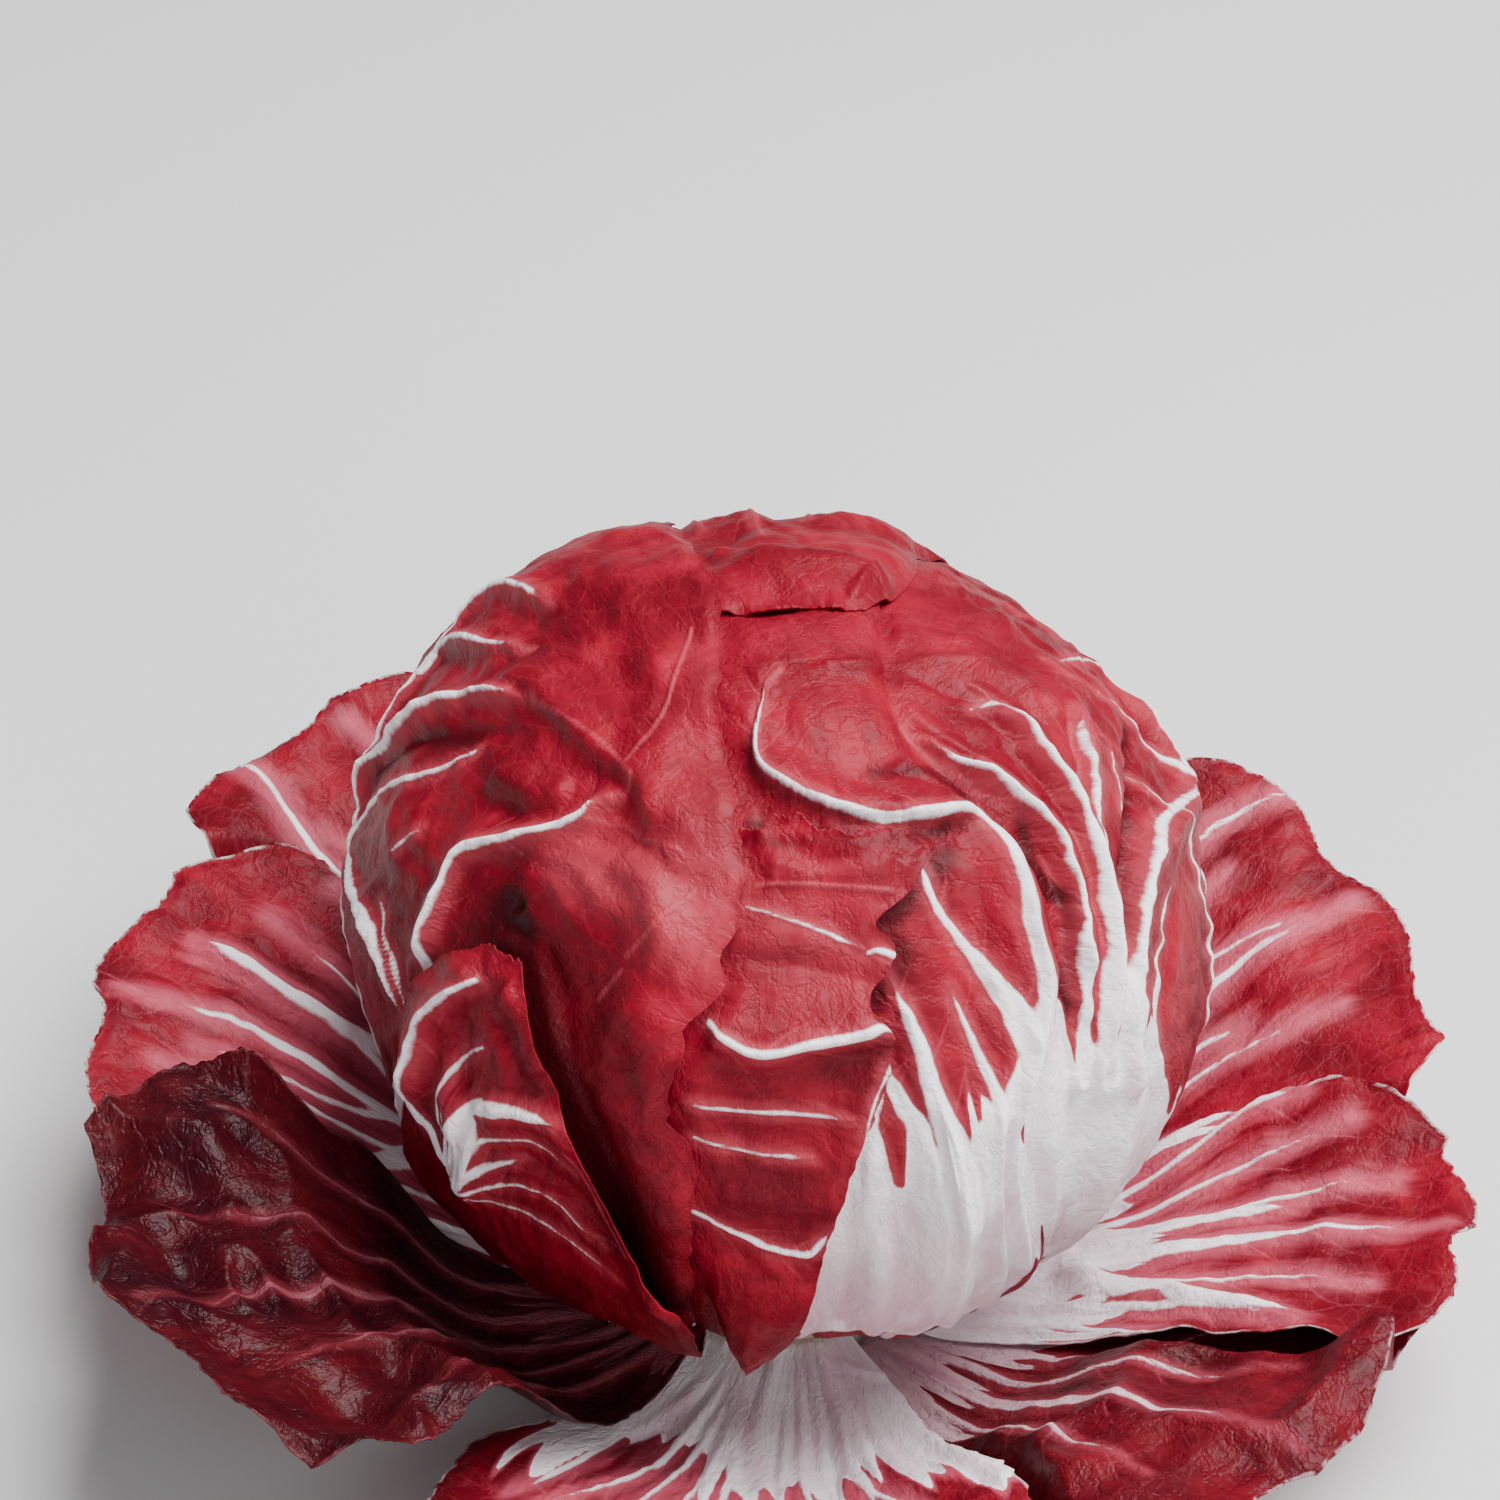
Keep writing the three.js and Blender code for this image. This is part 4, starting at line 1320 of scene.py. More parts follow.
def head_leaves() -> list[HeadLeaf]:
    """Draws the head's leaves.

    Returns:
        The leaves, from the innermost to the outermost.
    """
    right = HeadLeaf(
        name="right_leaf",
        node="leaf_right",
        left=[base(-58), at(-64, -30), at(-66, 8), at(-68, 40), at(-80, 62), at(-130, 76)],
        middle=[base(-18), at(-16, -30), at(-12, 4), at(-8, 34), at(-4, 60), at(20, 84)],
        right=[base(20), at(36, -30), at(48, 4), at(58, 30), at(74, 50), at(95, 68)],
        grid=(280, 260),
        ribs=[
            Rib(px((1118, 1090), (1116, 1017), (1121, 940), (1115, 882), (1102, 839), (1091, 804),
                (1073, 773), (1052, 745), (1034, 715), (1008, 689), (980, 667)),
                (4.6, 2.5, 2.3, 1.9, 1.4, 0.9, 0.6), 0.7),
            Rib(px((1096, 1085), (1100, 1010), (1092, 940), (1095, 914), (1091, 882), (1080, 860),
                (1073, 839), (1056, 815), (1030, 789), (1004, 763), (972, 747), (939, 728), (913, 708)),
                (3.6, 2.0, 1.2, 1.1, 1.0, 0.8, 0.5), 0.7),
            Rib(px((985, 690), (1008, 689), (1040, 720)), (0.3, 0.6, 0.9)),
            Rib(px((1149, 698), (1169, 724), (1188, 739), (1199, 752), (1190, 775)), (0.5, 0.7, 1.0)),
            Rib(px((1073, 647), (1108, 653), (1134, 672), (1149, 698)), (0.4, 0.7, 0.5)),
            Rib(px((1116, 900), (1110, 828), (1108, 789), (1104, 756), (1095, 728), (1086, 693)),
                (0.9, 0.8, 0.7, 0.5)),
            Rib(px((1142, 800), (1139, 778), (1132, 756), (1125, 730)), (0.5, 0.4)),
            Rib(px((1138, 1080), (1134, 1028), (1147, 940), (1154, 904), (1160, 860), (1171, 817),
                (1184, 780), (1195, 750)), (3.6, 1.5, 1.1, 0.9, 0.9), 0.7),
            Rib(px((1165, 1040), (1172, 960), (1182, 908), (1180, 862)), (2.4, 0.9, 0.5)),
            Rib([base(0), at(4, -30), at(8, 0), at(12, 24), at(14, 48)], (10, 5, 2.2, 0.8, 0.4), 0.5),
            Rib([base(6), at(18, -30), at(26, -4), at(30, 24), at(36, 46)], (8, 4, 1.6, 0.6, 0.4), 0.5),
            Rib([base(-14), at(-10, -28), at(-6, 0), at(-2, 24), at(0, 44)], (8, 4, 1.4, 0.6, 0.3),
                0.5),
        ],
        folds=[
            Fold(px((1112, 1060), (1122, 940), (1116, 882), (1103, 839), (1091, 804), (1073, 773),
                (1052, 745), (1034, 715), (1000, 683)), 3.0, 1.6, 4.0),
            Fold(px((1096, 1000), (1094, 930), (1082, 862), (1056, 815), (1004, 763), (950, 733),
                (905, 703)), 2.6, 1.3, 3.6),
            Fold(px((1140, 1060), (1148, 940), (1162, 860), (1184, 780), (1197, 748), (1160, 706),
                (1120, 660)), 3.0, 1.8, 4.5),
            Fold(px((1114, 870), (1110, 828), (1106, 770), (1088, 693)), 1.8, 1.0, 2.6),
            Fold(px((1034, 817), (1052, 860), (1065, 888)), -1.6, 1.2, 1.2),
            Fold(px((1141, 721), (1152, 773), (1149, 838), (1141, 925)), -2.0, 1.8, 1.2),
            Fold(px((917, 702), (972, 739), (991, 752)), -1.6, 1.0, 1.4),
            Fold(px((1080, 700), (1100, 760), (1098, 820)), -1.2, 1.0, 1.6),
            Fold(px((930, 640), (1000, 650), (1060, 690), (1080, 720)), 1.6, 2.2, 3.4),
        ],
        flesh=[px((1040, 1110), (1062, 1070), (1078, 1010), (1087, 1060), (1092, 1090), (1098, 1030),
            (1108, 985), (1114, 1040), (1123, 1078), (1129, 1010), (1137, 985), (1144, 1060),
            (1152, 1110), (1160, 1030), (1170, 1080), (1178, 1120), (1190, 1130), (1150, 1230),
            (1000, 1340), (860, 1345), (900, 1250))],
        painted_shades=[
            PaintedShading(px((950, 640), (1030, 680), (1080, 740)), 7, 0.2),
            PaintedShading(px((1046, 862), (1086, 900), (1090, 943), (1082, 1010), (1062, 1060)), 1.5, -1.0),
            PaintedShading(px((1141, 721), (1152, 773), (1149, 838), (1141, 925)), 1.5, -0.8),
            PaintedShading(px((1034, 800), (1055, 850), (1070, 890)), 1.3, -0.8),
        ],
        focus=(0.08, 0.8),
        lift=-1.5,
        crinkle=0.4,
        flame=0.18,
    )
    back = HeadLeaf(
        name="back_leaf",
        node="leaf_back",
        left=[base(20), at(22, -30), at(30, 2), at(46, 28), at(72, 41)],
        middle=[base(52), at(56, -30), at(60, 2), at(68, 30), at(82, 50)],
        right=[base(84), at(98, -30), at(106, 2), at(104, 34), at(98, 52)],
        ribs=fan_of_ribs((20, 52, 84), 5),
        folds=[Fold([base(52), at(57, -10), at(62, 30), at(70, 46)], 1.5, 3.0, 5.0)],
        lift=-3.0,
        flame=0.34,
    )
    front_right = HeadLeaf(
        name="front_right_leaf",
        node="leaf_front_right",
        left=[
            base(-98), at(-106, -36), at(-103, -6), at(-105, 24),
            *seen((-15, 34), (-18, 45)), at(150, 66),
        ],
        middle=[base(-62), at(-66, -34), at(-70, 2), at(-72, 34), at(-78, 66), at(95, 78)],
        right=[base(-42), at(-44, -34), *seen((36, -26), (41, -2), (32, 18), (19, 30)), at(40, 72)],
        grid=(270, 270),
        focus=(0.2, 0.98),
        focus_along=(0.12, 0.9),
        ribs=[
            Rib(px((900, 1320), (950, 1250), (990, 1130), (1010, 1100), (1036, 1045), (1045, 988),
                (1033, 925), (1019, 856), (1010, 830), (992, 805), (940, 808)),
                (16, 11, 7, 5.0, 3.6, 2.8, 2.2, 1.6), 0.6),
            Rib(px((1022, 872), (1010, 826), (992, 804), (965, 803), (938, 807), (881, 810), (824, 796),
                (783, 775), (758, 755), (754, 725), (761, 690), (765, 670), (779, 654)),
                (2.4, 2.0, 1.6, 1.3, 1.1, 0.9, 0.8, 0.6, 0.5), 0.7),
            Rib(px((1030, 1040), (1018, 1009), (994, 967), (968, 932), (945, 900), (933, 867),
                (927, 839)), (4.0, 2.0, 1.3, 0.7), 0.4),
            Rib(px((1000, 1110), (994, 1082), (977, 1029), (959, 988)), (2.2, 0.9, 0.5)),
            Rib(px((960, 1200), (959, 1158), (939, 1094), (930, 1055), (912, 1011), (898, 976)),
                (6.0, 3.2, 2.2, 1.2), 0.35),
            Rib(px((935, 1180), (927, 1138), (909, 1111), (898, 1076)), (4.0, 2.6, 1.6)),
            Rib(px((850, 1280), (872, 1180), (897, 1065)), (4.0, 2.4, 1.6)),
        ],
        folds=[
            Fold(px((950, 1250), (990, 1130), (1036, 1045), (1045, 988), (1033, 925), (1016, 850),
                (996, 806)), 3.4, 5.0, 6.0),
            Fold(px((996, 806), (938, 805), (881, 808), (824, 794), (783, 773), (758, 753), (756, 720)),
                2.4, 1.3, 4.2),
            Fold(px((758, 806), (795, 822), (864, 834), (920, 827), (968, 822)), -1.8, 1.4, 2.4),
            Fold(px((900, 756), (943, 757), (987, 782), (1020, 812)), -2.0, 1.1, 1.6),
            Fold(px((955, 905), (985, 960), (1005, 1010)), -0.9, 2.2, 2.2),
            Fold(px((790, 720), (850, 705), (920, 715), (975, 750)), 0.7, 5.0, 6.0),
            Fold(px((820, 651), (853, 649), (898, 645)), 0.9, 0.8, 1.4),
            Fold(px((960, 1180), (935, 1100), (905, 1000)), 0.8, 1.8, 1.8),
        ],
        flesh=[px((846, 1220), (866, 1170), (880, 1120), (892, 1140), (902, 1170), (912, 1198),
            (917, 1160), (922, 1125), (930, 1120), (934, 1146), (940, 1120), (952, 1118), (962, 1150),
            (969, 1180), (974, 1140), (978, 1110), (990, 1090), (1006, 1094), (1020, 1060),
            (1028, 1090), (1036, 1140), (1048, 1080), (1080, 1200), (1000, 1345), (790, 1345),
            (800, 1270))],
        painted_shades=[
            PaintedShading(px((748, 812), (795, 826), (864, 834), (930, 824), (985, 812)), 1.3, -0.7),
            PaintedShading(px((880, 762), (943, 757), (990, 785)), 1.6, -0.7),
            PaintedShading(px((960, 900), (1000, 900), (1010, 960)), 6, -0.25),
            PaintedShading(px((1066, 900), (1074, 960), (1064, 1030), (1044, 1100)), 3.0, -0.45),
            PaintedShading(px((955, 850), (928, 880), (910, 905), (893, 930), (911, 955), (902, 975),
                (884, 1008)), 2.4, -0.7),
            PaintedShading(px((908, 1050), (886, 1120), (860, 1190)), 1.4, -0.4),
        ],
        wave=0.0,
        crinkle=0.2,
        swell=0.3,
        lift=-2.0,
        flame=0.05,
        rim=0.0,
    )
    crown = HeadLeaf(
        name="crown_leaf",
        node="leaf_crown",
        left=[base(124), at(136, -30), at(144, 4), at(146, 38), at(150, 64), at(155, 80)],
        middle=[base(96), at(96, -30), at(96, 4), at(96, 38), at(96, 68), *seen((2, 46.4))],
        right=[
            base(68), at(62, -30), at(60, 4), at(60, 30), at(60, 46),
            *px((921, 560), (900, 578), (866, 598)),
        ],
        grid=(150, 170),
        ribs=fan_of_ribs((68, 96, 124), 7, top=62.0),
        folds=[
            Fold(px((736, 597), (765, 596), (807, 596), (857, 599)), 2.4, 2.0, 1.4),
            Fold(px((853, 590), (866, 572), (880, 560)), 1.2, 1.4, 1.8),
            Fold([base(96), at(96, -20), at(96, 30), at(96, 60)], 1.6, 3.0, 5.0),
            Fold(px((700, 540), (760, 548), (840, 560), (900, 575)), 1.2, 2.0, 3.0),
        ],
        wave=0.004,
        teeth=0.2,
        lift=-2.5,
        flame=0.34,
        rim=0.2,
    )
    flap = HeadLeaf(
        name="front_flap",
        node="leaf_front_flap",
        left=[
            *seen((-4.5, -56.5), (-8, -54), (-12, -50), (-15, -44)),
            at(-106, -2), at(-107, 12), at(-108, 26), at(-106, 40), at(-104, 54),
        ],
        middle=[*seen((-4, -57), (-3, -50)), at(-92, 4), at(-90, 22), at(-86, 40), at(-82, 55)],
        right=[
            *seen((-3, -56.5)),
            *seen((2, -54), (8, -42), (12, -31), (16.5, -17.5), (16, -13.5), (13, -10), (17, -2),
                (14, 1.5), (18, 6)),
            *seen((22, 14.5)),
        ],
        grid=(200, 330),
        wave=0.01,
        ribs=[
            Rib(px((707, 1027), (757, 1054), (812, 1045), (862, 1034), (883, 1027), (905, 1039)),
                (1.0, 1.4, 1.8), 0.8),
            Rib(px((690, 1112), (700, 1116), (801, 1123), (856, 1127)), (0.25, 0.5, 0.6)),
            Rib(px((690, 1150), (703, 1154), (768, 1167), (815, 1169)), (0.3, 0.5)),
            Rib(px((690, 1228), (708, 1235), (751, 1252), (812, 1261), (838, 1236)),
                (0.7, 0.9, 0.9, 1.2), 0.6),
            Rib(px((745, 905), (818, 928), (866, 949)), (0.3, 0.5)),
            Rib(px((755, 882), (818, 883), (895, 890)), (0.25, 0.2)),
            Rib(px((872, 953), (880, 950), (904, 957)), (0.5, 1.1)),
            Rib(px((898, 1062), (876, 1120), (869, 1157)), (0.5, 0.3)),
        ],
        folds=[
            Fold(px((695, 1030), (757, 1052), (812, 1044), (862, 1033), (905, 1036)), 2.6, 4.5, 2.4),
            Fold(px((760, 860), (830, 875), (900, 862)), 1.2, 2.0, 3.0),
            Fold(px((725, 962), (800, 968), (880, 985)), -0.8, 2.0, 2.0),
            Fold(px((715, 1140), (790, 1148), (850, 1150)), -0.7, 2.2, 2.2),
            Fold(px((715, 1200), (780, 1215), (830, 1215)), 0.8, 2.4, 2.4),
            Fold(px((752, 1366), (780, 1310)), 4.5, 9.0, 9.0, smoothed=False),
        ],
        painted_shades=[
            PaintedShading(px((720, 1010), (800, 1010), (890, 1000)), 5, 0.15),
            PaintedShading(px((740, 835), (800, 838), (870, 840), (950, 832)), 1.4, -0.5),
            PaintedShading(px((760, 905), (820, 960), (880, 930), (860, 890)), 8, 0.3),
            PaintedShading(px((720, 1075), (800, 1080), (880, 1070)), 4.5, -0.3),
            PaintedShading(px((715, 1190), (780, 1205), (830, 1200)), 4.5, -0.2),
            PaintedShading(px((700, 1290), (760, 1300), (790, 1300)), 5, -0.3),
        ],
        lift=1.6,
        teeth=0.8,
        flame=-1.0,
        focus=(0.2, 0.98),
        grain=Grain.ACROSS,
        rim=0.1,
    )
    left = HeadLeaf(
        name="front_left_leaf",
        node="leaf_front_left",
        left=[base(-172), at(170, -32), at(152, 0), at(134, 24), at(116, 34), at(105, 35)],
        middle=[
            base(-146), at(-146, -32), at(-150, 0), at(-158, 30), at(172, 56), at(120, 52), at(108, 37),
        ],
        right=[
            base(-112), at(-110, -48),
            *seen((-11.5, -53.3), (-10, -36), (-13, -19), (-8, -8), (-4, 4), (-5.5, 18), (-7, 32),
                (-8, 47.5)),
            *px((700, 560), (688, 540)), at(114, 50), at(110, 39),
        ],
        grid=(280, 270),
        focus=(0.14, 0.98),
        focus_along=(0.1, 0.95),
        wave=0.012,
        teeth=0.9,
        ribs=[
            Rib(px((345, 820), (365, 775), (405, 740), (445, 706), (485, 692), (525, 694)),
                (1.0, 1.3, 1.0, 0.5), 0.7),
            Rib(px((525, 694), (600, 740), (625, 770)), (0.3, 0.2)),
            Rib(px((462, 744), (416, 772), (376, 798), (356, 838), (350, 873), (359, 925), (363, 955),
                (370, 988), (390, 1045)), (0.5, 0.9, 1.2, 1.6, 2.2, 2.8), 0.5),
            Rib(px((365, 904), (372, 975), (391, 1035)), (0.5, 0.7)),
            Rib(px((404, 827), (378, 853)), (0.3, 0.6)),
            Rib(px((391, 1053), (397, 1002), (413, 924), (422, 902), (445, 850), (496, 833), (568, 810),
                (583, 796), (611, 790), (625, 775)), (2.8, 1.7, 1.3, 1.3, 1.2, 1.1, 0.9), 0.8),
            Rib(px((568, 813), (611, 818), (634, 833), (680, 850)), (0.4, 0.3, 0.2)),
            Rib(px((622, 755), (654, 710), (675, 659), (687, 620)), (0.2, 0.3, 0.15)),
            Rib(px((584, 1007), (616, 972)), (0.4, 0.15)),
            Rib(px((622, 958), (692, 891)), (0.2, 0.15)),
            Rib(px((411, 665), (440, 640), (480, 620), (520, 610), (555, 612)), (0.9, 0.9, 0.7)),
            Rib(px((365, 755), (405, 700), (450, 663), (497, 647), (525, 646)), (1.1, 0.9, 0.7)),
            Rib([base(-160), at(-170, -34), at(178, -6), at(170, 10)], (9, 5, 2.5, 0.8), 0.5),
            Rib([base(-150), at(-154, -34), at(-156, -10), *px((391, 1053),
                (396, 1010))], (9, 7, 4.6, 3.4, 2.4), 0.5),
        ],
        folds=[
            Fold(px((474, 912), (478, 950), (490, 1005), (524, 1105), (566, 1188), (616, 1258),
                (658, 1312)), -6.8, 5.0, 4.6),
            Fold(px((455, 920), (480, 915), (505, 895)), -2.0, 1.6, 2.0),
            Fold(px((600, 850), (640, 880), (660, 930), (640, 1000)), 1.2, 3.0, 4.0),
            Fold(px((490, 676), (528, 682), (575, 725), (625, 766), (640, 783), (655, 830)),
                2.7, 5.5, 2.2),
            Fold(px((347, 812), (365, 775), (405, 740), (445, 706), (485, 692), (525, 692)),
                2.2, 3.4, 1.4),
            Fold(px((381, 770), (419, 737), (461, 724), (500, 722)), -1.4, 1.4, 2.0),
            Fold(px((391, 1053), (397, 1002), (420, 905), (445, 850), (496, 833), (568, 810),
                (583, 796), (625, 775)), 2.4, 4.0, 1.8),
            Fold(px((411, 665), (440, 640), (480, 620), (520, 610), (555, 612)), 1.4, 2.4, 1.4),
            Fold(px((365, 755), (405, 700), (450, 663), (497, 647), (525, 646)), 1.5, 2.4, 1.4),
            Fold(px((350, 870), (359, 940), (380, 1020)), 1.4, 1.6, 2.0),
            Fold(px((480, 760), (520, 790), (560, 780)), 1.6, 3.0, 3.0),
            Fold(px((470, 800), (530, 815), (590, 770)), -1.2, 2.5, 2.5),
            Fold(px((560, 900), (600, 960), (640, 1060)), 1.6, 7.0, 6.0),
            Fold(px((600, 1100), (640, 1180), (680, 1240)), 1.2, 4.0, 5.0),
        ],
        painted_shades=[
            PaintedShading(px((700, 640), (700, 760), (720, 860), (700, 960)), 6, 0.3),
            PaintedShading(px((560, 860), (620, 880), (660, 900)), 9, 0.6),
            PaintedShading(px((486, 905), (488, 950), (500, 1005), (536, 1105), (580, 1188), (632, 1258),
                (672, 1306)), 5.0, -1.0),
            PaintedShading(px((520, 960), (545, 1050), (590, 1150), (650, 1250)), 7.0, -0.35),
            PaintedShading(px((470, 930), (440, 960)), 5, -0.5),
            PaintedShading(px((600, 960), (640, 1100), (660, 1200)), 7, -0.25),
            PaintedShading(px((405, 790), (420, 760), (470, 735)), 3.0, -0.35),
            PaintedShading(px((381, 775), (419, 741), (461, 728)), 2.0, -0.7),
        ],
        lift=0.6,
        flame=0.03,
        rim=0.0,
        crinkle=0.32,
        swell=0.85,
    )
    left_back = HeadLeaf(
        name="left_back_leaf",
        node="leaf_left_back",
        left=[base(136), at(124, -30), at(116, 2), at(110, 22), at(106, 36)],
        middle=[base(158), at(156, -30), at(146, 2), at(132, 26), at(120, 40)],
        right=[base(-178), at(-176, -30), at(168, 2), at(148, 25), at(124, 41)],
        grid=(120, 140),
        ribs=fan_of_ribs((136, 158, 182), 5, top=30.0),
        folds=[Fold([base(160), at(160, -20), at(150, 8), at(136, 30)], 1.4, 3.0, 4.5)],
        lift=-3.0,
        flame=0.36,
    )
    lobe = HeadLeaf(
        name="rolled_lobe",
        node="leaf_rolled_lobe",
        left=[base(-158), at(-158, -34), at(-152, -12), *seen((-53, -18), (-53.5, -9), (-48, -3))],
        middle=[base(-136), at(-128, -36), at(-130, -14), *seen((-40, -24), (-40, -13), (-42, -1))],
        right=[base(-112), *seen((-11.5, -51.5), (-17, -45.5), (-27, -32), (-34, -17), (-37, -3.5))],
        grid=(220, 240),
        focus_along=(0.15, 0.98),
        ribs=[
            Rib(px((473, 982), (437, 1002), (417, 1024), (408, 1064), (408, 1102), (430, 1147)),
                (0.8, 1.2, 1.6), 0.6),
            Rib(px((390, 1058), (397, 1087), (430, 1147), (450, 1180)), (1.6, 2.0, 2.4), 0.4),
            Rib(px((473, 1053), (455, 1060), (439, 1075), (432, 1102), (437, 1147)), (0.5, 0.9, 1.2)),
            Rib(px((450, 1135), (464, 1115), (497, 1113), (531, 1120), (562, 1129)),
                (2.2, 2.4, 1.5, 0.7), 0.4),
            Rib(px((455, 1184), (473, 1177), (513, 1170)), (1.8, 1.2, 0.4)),
            Rib(px((460, 1150), (520, 1150), (570, 1180)), (0.9, 0.4, 0.2)),
            Rib(px((460, 1190), (530, 1205), (600, 1260)), (0.9, 0.4, 0.2)),
            Rib(px((470, 1200), (540, 1235), (620, 1290)), (0.6, 0.3, 0.2)),
            Rib(px((515, 1135), (570, 1165), (630, 1250)), (0.4, 0.3, 0.2)),
        ],
        flesh=[px((448, 1136), (457, 1124), (466, 1130), (468, 1152), (463, 1182), (456, 1190),
            (446, 1174))],
        folds=[
            Fold(px((446, 1110), (456, 1145), (466, 1190)), 2.4, 2.6, 4.0, smoothed=False),
            Fold(px((480, 972), (437, 1000), (414, 1028), (408, 1070), (412, 1110)), 2.4, 2.0, 3.0),
            Fold(px((464, 1122), (497, 1118), (540, 1126), (581, 1158), (619, 1217), (657, 1269),
                (690, 1310)), 2.2, 2.4, 4.0),
            Fold(px((450, 1020), (445, 1060), (450, 1100)), -1.6, 2.0, 2.6),
            Fold(px((500, 1160), (560, 1200), (620, 1262)), -0.9, 1.6, 1.6),
            Fold(px((495, 985), (520, 1030), (535, 1085)), 1.6, 2.0, 3.4),
            Fold(px((480, 1030), (495, 1070), (500, 1100)), 1.0, 2.0, 2.0),
        ],
        painted_shades=[
            PaintedShading(px((530, 1160), (600, 1230), (660, 1310)), 7, -0.35),
            PaintedShading(px((455, 1010), (500, 1030), (520, 1090)), 6, -0.45),
            PaintedShading(px((420, 1080), (450, 1100)), 3, -0.3),
        ],
        wave=0.0,
        lift=1.2,
        teeth=0.4,
        flame=0.06,
        rim=0.15,
    )
    return [right, back, front_right, crown, flap, left, left_back, lobe]


def fan_of_ribs(foot: tuple[float, float, float], count: int, top: float = 50.0) -> list[Rib]:
    """Ribs fanning out over a leaf that stands on the stump between three azimuths.

    Args:
        foot: The azimuths of its left, middle and right at the base, in degrees.
        count: How many ribs.
        top: The elevation that the middle rib reaches.

    Returns:
        The ribs, broad at the base.
    """
    ribs = []
    for k in range(count):
        lean = 2 * k / (count - 1) - 1
        half = (foot[2] - foot[0]) / 2
        reach = top * (1 - 0.45 * abs(lean))
        steps = ((BASE_ELEVATION, 0.7), (-30, 0.85), (0, 0.95), (0.55 * reach, 1.05), (reach, 1.3))
        path = [at(foot[1] + half * lean * spread, elevation) for elevation, spread in steps]
        broad = 7.0 if k == count // 2 else 4.5
        ribs.append(Rib(path, (1.4 * broad, 0.8 * broad, 0.35 * broad, 0.15 * broad, 0.3), 0.5))
    return ribs


